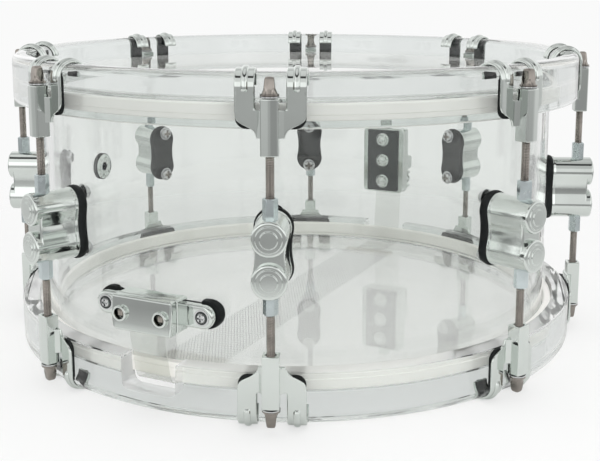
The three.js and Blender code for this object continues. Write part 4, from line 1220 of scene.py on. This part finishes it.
class DRUM_OT_strainer(Operator):
    """Strainer: base, slide, strap clamp, lever, knob and the backing plate inside the shell"""

    bl_idname = "drum.strainer"
    bl_label = "Strainer"

    def base(self, low, high, pivot):
        """A backing slab on the shell's wall, two cheeks with round ears for the lever and a bridge on top."""
        wide, inner = high[0], high[0] - 4.0
        floor, cheek, ear = low[1] + 5.7, low[1] + 13.7, pivot[0] + 3.5
        body = [slab(rectangle((-wide, low[2]), (wide, high[2]), 4.0), low[1], floor, 1.0, seat=SHELL_OUTER + 0.3)]
        tab = rounded([(floor - 1, low[2] + 1), (cheek, low[2] + 1), (cheek, pivot[1] - 6), (ear, pivot[1] - 5.5),
                       (ear, pivot[1] + 5.5), (cheek, pivot[1] + 7), (cheek, high[2] - 0.5),
                       (floor - 1, high[2] - 0.5)], [0.5, 3, 3, 3.4, 3.4, 3, 3, 0.5])
        body += [slab(tab, *sorted((side * inner, side * wide)), 0.8, "across") for side in (-1, 1)]
        bridge = rectangle((-inner - 0.5, floor - 1), (inner + 0.5, cheek - 0.5), 1.0)
        body.append(slab(bridge, high[2] - 4.2, high[2] - 0.2, 0.5, "up"))
        return solid("strainer_base_shape", *body)

    def lever(self, pivot, high):
        """A paddle carried up from a hub on the pin, leaning outwards, narrowed towards its round end."""
        half, thick, pin_half = 14.0, 1.3, 19.0
        path = bent([pivot, (pivot[0] + 1.5, pivot[1] + 9), (high[1] - 1.9, high[2] - 2.0)], [10.0], 12)
        run, part = np.linspace(0, 1, len(path)), np.linspace(0, 1, 40)
        path = np.stack([np.interp(part, run, path[:, axis]) for axis in (0, 1)], 1)
        taper = (1 - 0.18 * smooth(part)) * np.sqrt(np.clip(1 - ((part - 0.86) / 0.145).clip(0) ** 2, 0.12, 1))
        section = rectangle((-half, -thick), (half, thick), 1.2, 4)
        hub = rectangle((0, -half), (3.6, half), [0, 0.7, 0.7, 0])
        pin = rectangle((0, -pin_half), (2.0, pin_half), [0, 0.7, 0.7, 0])
        return solid("lever_shape", carried(section, path, taper), spun(hub, "across", pivot, 40),
                     spun(pin, "across", pivot, 24))

    def knob(self, low, high):
        """A knurled knob: a turned profile whose rim swells and sinks round its edge."""
        middle = (low[1] + high[1]) / 2
        radius = (high[1] - low[1]) / 2 - 0.15
        neck, foot = 2.6, low[2] + 1.2
        corners = [(0, low[2]), (neck, low[2]), (neck, foot), (radius, foot), (radius, high[2]), (0, high[2])]
        profile = rounded(corners, [0, 0.2, 0.3, 0.5, 0.9, 0])
        weight = smooth((profile[:, 0] - radius + 0.8) / 0.8)

        def knurl(angle):
            """A radius that swells and sinks 24 times in a turn."""
            return 1 + 0.03 * np.cos(24 * angle)
        return solid("knob_shape", spun(profile, "up", (0, middle), 144, knurl, weight))

    def backing(self, low, high):
        """A flat plate with round corners on the inside of the shell."""
        outline = rectangle((low[0], low[2]), (high[0], high[2]), 1.0)
        return solid("backing_shape", slab(outline, high[1] - BACKING_PLATE, high[1], 0.5))

    def nuts(self, low, high):
        """Three flanged nuts on their bolts' round ends: a turned profile that passes into a hexagon and back."""
        seat, middle, spread = high[1] - BACKING_PLATE, (low[2] + high[2]) / 2, 18.2
        rows = np.array([(0, 0, 0), (6.1, 0, 0), (6.1, 0.8, 0), (5.6, 1.2, 0.3), (5.2, 1.3, 1), (5.2, 3.4, 1),
                         (4.5, 4.0, 0.5), (2.7, 4.0, 0), (2.7, 5.2, 0), (1.9, 6.0, 0), (0, 6.2, 0)])
        profile = standing(rows, seat, -1)
        return solid("inner_nut_shape", *(spun(profile, "out", (0, middle + up), 48, hexagon, rows[:, 2])
                                          for up in (-spread, 0, spread)))

    def execute(self, context):
        angle = STRAINER_ANGLE
        low, high = reach("strainer_base", angle)
        lever_low, lever_high = reach("strainer_lever", angle)
        pivot = (high[1] - 3.5, lever_low[2] + 3.6)
        place(self.base(low, high, pivot), "strainer_base_casting", "chrome_plate", angle,
              nodes=["strainer_base"])
        slide_low, slide_high = reach("strainer_slide", angle)
        outline = rectangle((slide_low[0], slide_low[2]), (slide_high[0], slide_high[2]), 1.5)
        place(solid("slide_shape", slab(outline, slide_low[1], slide_high[1], 0.8)), "strainer_slide_block",
              "chrome_plate", angle, body="strainer_slide", nodes=["strainer_slide"])
        place_clamp("strainer", 13.5, angle, "strainer_slide")
        place(self.lever(pivot, lever_high), "strainer_lever_paddle", "chrome_plate", angle,
              body="strainer_lever", nodes=["strainer_lever"])
        place(self.knob(*reach("strainer_knob", angle)), "strainer_knob_grip", "chrome_plate", angle,
              body="strainer_knob", nodes=["strainer_knob"])
        plate_low, plate_high = reach("strainer_backing_plate", angle)
        place(self.backing(plate_low, plate_high), "strainer_inner_plate", "satin_black", angle,
              nodes=["strainer_backing_plate"])
        place(self.nuts(plate_low, plate_high), "strainer_inner_nuts", "chrome_plate", angle)
        return {"FINISHED"}


class DRUM_OT_vent(Operator):
    """Vent grommet through the shell"""

    bl_idname = "drum.vent"
    bl_label = "Vent"

    def execute(self, context):
        outer, inner = SHELL_OUTER + 0.35, inner_wall() - 0.5
        corners = [(3.2, inner - 0.9), (4.2, inner - 1.5), (5.6, inner - 1.5), (6.0, inner - 0.9), (7.2, inner - 1.2),
                   (9.8, inner - 0.6), (9.8, inner), (6.7, inner), (6.7, outer), (10.0, outer - 0.15),
                   (10.0, outer + 0.6), (7.6, outer + 1.2), (7.2, outer + 0.8), (6.2, outer + 1.3), (3.2, outer + 1.3)]
        profile = rounded(corners, [0.3, 0.3, 0.3, 0.2, 0.3, 0.2, 0.1, 0.1, 0.1, 0.1, 0.35, 0.15, 0.1, 0.3, 0.5])
        weight = smooth((3.9 - profile[:, 0]) / 0.5)
        grommet = spun(profile, "out", (0, 0), 72, self.bore, weight)
        place(solid("grommet_shape", grommet), "vent_grommet_ring", "chrome_plate", VENT_ANGLE,
              nodes=["vent_grommet"])
        rings = [rectangle((6.75, inner + 0.03), (10.3, inner + 0.43), 0.15),
                 rectangle((6.75, outer - 0.45), (10.4, outer - 0.12), 0.15),
                 rectangle((2.5, inner - 0.5), (2.9, outer + 0.9), 0.15)]
        place(solid("vent_washer_shape", *(spun(ring, "out", (0, 0), 48) for ring in rings)), "vent_washers",
              "matt_rubber", VENT_ANGLE)
        return {"FINISHED"}

    def bore(self, angle):
        """The hexagon of the grommet's bore, a little wider than its circle."""
        return hexagon(angle) * 1.06


# Stage

# Grey levels that metal reflects, by height and from side to side: (place, level)
SKY_HEIGHTS = [(0.0, 0.55), (0.37, 0.40), (0.46, 0.50), (0.495, 0.55), (0.505, 1.2), (0.70, 1.2), (0.75, 0.85),
               (0.885, 0.85), (0.90, 0.05), (0.95, 0.05), (0.965, 0.75), (1.0, 0.80)]
SKY_SIDES = [(0.0, 1.0), (0.10, 0.8), (0.16, 0.6), (0.22, 1.3), (0.33, 1.25), (0.40, 1.0), (0.52, 1.0), (0.60, 0.75),
             (0.66, 0.75), (0.70, 1.3), (0.80, 1.3), (0.85, 0.6), (0.92, 0.85), (1.0, 1.0)]
WHITE = (0.955, 0.957, 0.955, 1)
MIRRORED_FLOOR = (0.40, 0.41, 0.41, 1)


class DRUM_OT_stage(Operator):
    """Pale floor, soft studio light and the camera"""

    bl_idname = "drum.stage"
    bl_label = "Stage"

    def execute(self, context):
        scene = context.scene
        scene.view_settings.view_transform = "Standard"
        camera = bpy.data.objects.new("camera", bpy.data.cameras.new("camera"))
        scene.collection.objects.link(camera)
        camera.data.sensor_width = 36.0
        camera.data.sensor_fit = "HORIZONTAL"
        camera.data.lens = 61.18
        camera.data.shift_y = -0.1205
        camera.location = (0.0501, -0.7301, 0.2491)
        camera.rotation_euler = (math.radians(90 - 9.95), 0, math.radians(3.70))
        scene.camera = camera
        self.floor(scene)
        self.sky(scene)
        self.lamp(scene, "softbox_top", location=(0.1, -0.25, 1.5), turn=(0, 0, 0), width=1.3, power=9.0)
        self.lamp(scene, "softbox_front", location=(0.3, -1.7, 0.7), turn=(math.radians(70), 0, math.radians(10)),
                  width=1.2, power=9.0)
        return {"FINISHED"}

    def lamp(self, scene, name, location, turn, width, power):
        """A square softbox that neither metal nor clear walls show."""
        light = bpy.data.lights.new(name, "AREA")
        light.size = width
        light.energy = power
        lamp = bpy.data.objects.new(name, light)
        lamp.location = location
        lamp.rotation_euler = turn
        lamp.visible_glossy = False
        lamp.visible_transmission = False
        scene.collection.objects.link(lamp)

    def floor(self, scene):
        """A round floor whose edge fades into the background. Seen straight on or through clear walls it is lifted
        towards white, and metal shows a part of it as mid grey."""
        angle = np.linspace(0, 2 * np.pi, 96, endpoint=False)
        radii = np.linspace(0, 2.0, 9)[:, None]
        grid = np.stack([radii * np.cos(angle), radii * np.sin(angle), np.zeros((9, 96))], -1)
        points, quads = fold(grid, wrap_columns=True)
        data = bpy.data.meshes.new("floor")
        data.from_pydata(points.tolist(), [], quads.tolist())
        data.validate()
        floor = bpy.data.objects.new("floor", data)
        scene.collection.objects.link(floor)
        made = bpy.data.materials.new("pale_floor")
        made.use_nodes = True
        tree = made.node_tree
        tree.nodes.clear()
        far = node(tree, "VectorMath", {0: node(tree, "TexCoord").outputs["Object"]}, operation="LENGTH")
        fade = node(tree, "MapRange", {"Value": far.outputs["Value"], "From Min": 0.33, "From Max": 0.62},
                    interpolation_type="SMOOTHSTEP")
        tones = placed_group(tree, tone_group(), {"Light": tint("floor"), "Dark": tint("floor", 0.99), "Scale": 8.0})
        body = node(tree, "BsdfPrincipled", {"Base Color": tones["Color"], "Roughness": 0.7,
                                             "Specular IOR Level": 0.1})
        path = node(tree, "LightPath").outputs
        lift = join(tree, "MULTIPLY", join(tree, "MAXIMUM", path["Is Camera Ray"], path["Is Transmission Ray"]), 0.6)
        shine = join(tree, "MULTIPLY", path["Is Glossy Ray"], 0.2)
        white, grey = (node(tree, "Emission", {"Color": level}).outputs[0] for level in (WHITE, MIRRORED_FLOOR))
        lit = node(tree, "MixShader", {"Fac": lift, 1: body.outputs["BSDF"], 2: white})
        seen = node(tree, "MixShader", {"Fac": shine, 1: lit.outputs["Shader"], 2: grey})
        mixed = node(tree, "MixShader", {"Fac": fade.outputs["Result"], 1: seen.outputs["Shader"],
                                         2: node(tree, "BsdfTransparent").outputs["BSDF"]})
        node(tree, "OutputMaterial", {"Surface": mixed.outputs["Shader"]})
        data.materials.append(made)

    def fill(self, ramp, levels):
        """Gives a ramp its grey levels."""
        stops = ramp.color_ramp.elements
        while len(stops) < len(levels):
            stops.new(0.5)
        for stop, (spot, level) in zip(stops, levels):
            stop.position = spot
            stop.color = (level, level, level, 1)

    def sky(self, scene):
        """White to the eye, straight on or through the clear walls. Metal shows grey levels by height, with one dark
        band overhead, times levels from side to side, and paler behind the drum."""
        world = bpy.data.worlds.new("studio")
        scene.world = world
        world.use_nodes = True
        tree = world.node_tree
        tree.nodes.clear()
        way = node(tree, "SeparateXYZ", {"Vector": node(tree, "TexCoord").outputs["Generated"]}).outputs
        ramps = []
        for axis, levels in (("Z", SKY_HEIGHTS), ("X", SKY_SIDES)):
            part = node(tree, "MapRange", {"Value": way[axis], "From Min": -1.0, "From Max": 1.0})
            ramps.append(node(tree, "ValToRGB", {"Fac": part.outputs["Result"]}))
            self.fill(ramps[-1], levels)
        behind = node(tree, "MapRange", {"Value": way["Y"], "From Min": -0.3, "From Max": 0.5},
                      interpolation_type="SMOOTHSTEP")
        back = join(tree, "MULTIPLY", behind.outputs["Result"], 0.65)
        light = join(tree, "MULTIPLY", *(ramp.outputs["Color"] for ramp in ramps))
        light = join(tree, "ADD", light, join(tree, "MULTIPLY", back, join(tree, "SUBTRACT", 0.9, light)))
        path = node(tree, "LightPath").outputs
        straight = join(tree, "LESS_THAN", path["Glossy Depth"], 0.5)
        inside = join(tree, "MULTIPLY", path["Is Transmission Ray"], 0.8)
        through = join(tree, "MULTIPLY", path["Is Transmission Ray"], straight)
        white = join(tree, "MAXIMUM", join(tree, "MAXIMUM", path["Is Camera Ray"], through), inside)
        mixed = node(tree, "Mix", {"Factor": white, MIX_ONE: light, MIX_TWO: WHITE}, data_type="RGBA")
        glow = node(tree, "Background", {"Color": mixed.outputs[MIX_COLOUR], "Strength": 1.0})
        node(tree, "OutputWorld", {"Surface": glow.outputs["Background"]})


PIECES = [DRUM_OT_stage, DRUM_OT_shell, DRUM_OT_hoops, DRUM_OT_heads, DRUM_OT_lugs, DRUM_OT_claws, DRUM_OT_rods,
          DRUM_OT_snares, DRUM_OT_butt, DRUM_OT_strainer, DRUM_OT_vent]


class DRUM_PT_panel(Panel):
    """Lists the drum's pieces"""

    bl_label = "Acrylic Snare Drum"
    bl_idname = "DRUM_PT_panel"
    bl_space_type = "VIEW_3D"
    bl_region_type = "UI"
    bl_category = "Drum"

    def draw(self, context):
        for piece in PIECES:
            self.layout.operator(piece.bl_idname)


CLASSES = [DrumSizes, DrumColours, *PIECES, DRUM_PT_panel]


def register():
    for item in CLASSES:
        bpy.utils.register_class(item)
    bpy.types.Scene.drum_sizes = PointerProperty(type=DrumSizes)
    bpy.types.Scene.drum_colours = PointerProperty(type=DrumColours)


def unregister():
    del bpy.types.Scene.drum_colours
    del bpy.types.Scene.drum_sizes
    for item in reversed(CLASSES):
        bpy.utils.unregister_class(item)


def main():
    """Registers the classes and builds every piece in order."""
    register()
    for piece in PIECES:
        family, verb = piece.bl_idname.split(".")
        getattr(getattr(bpy.ops, family), verb)()


if __name__ == "__main__":
    main()
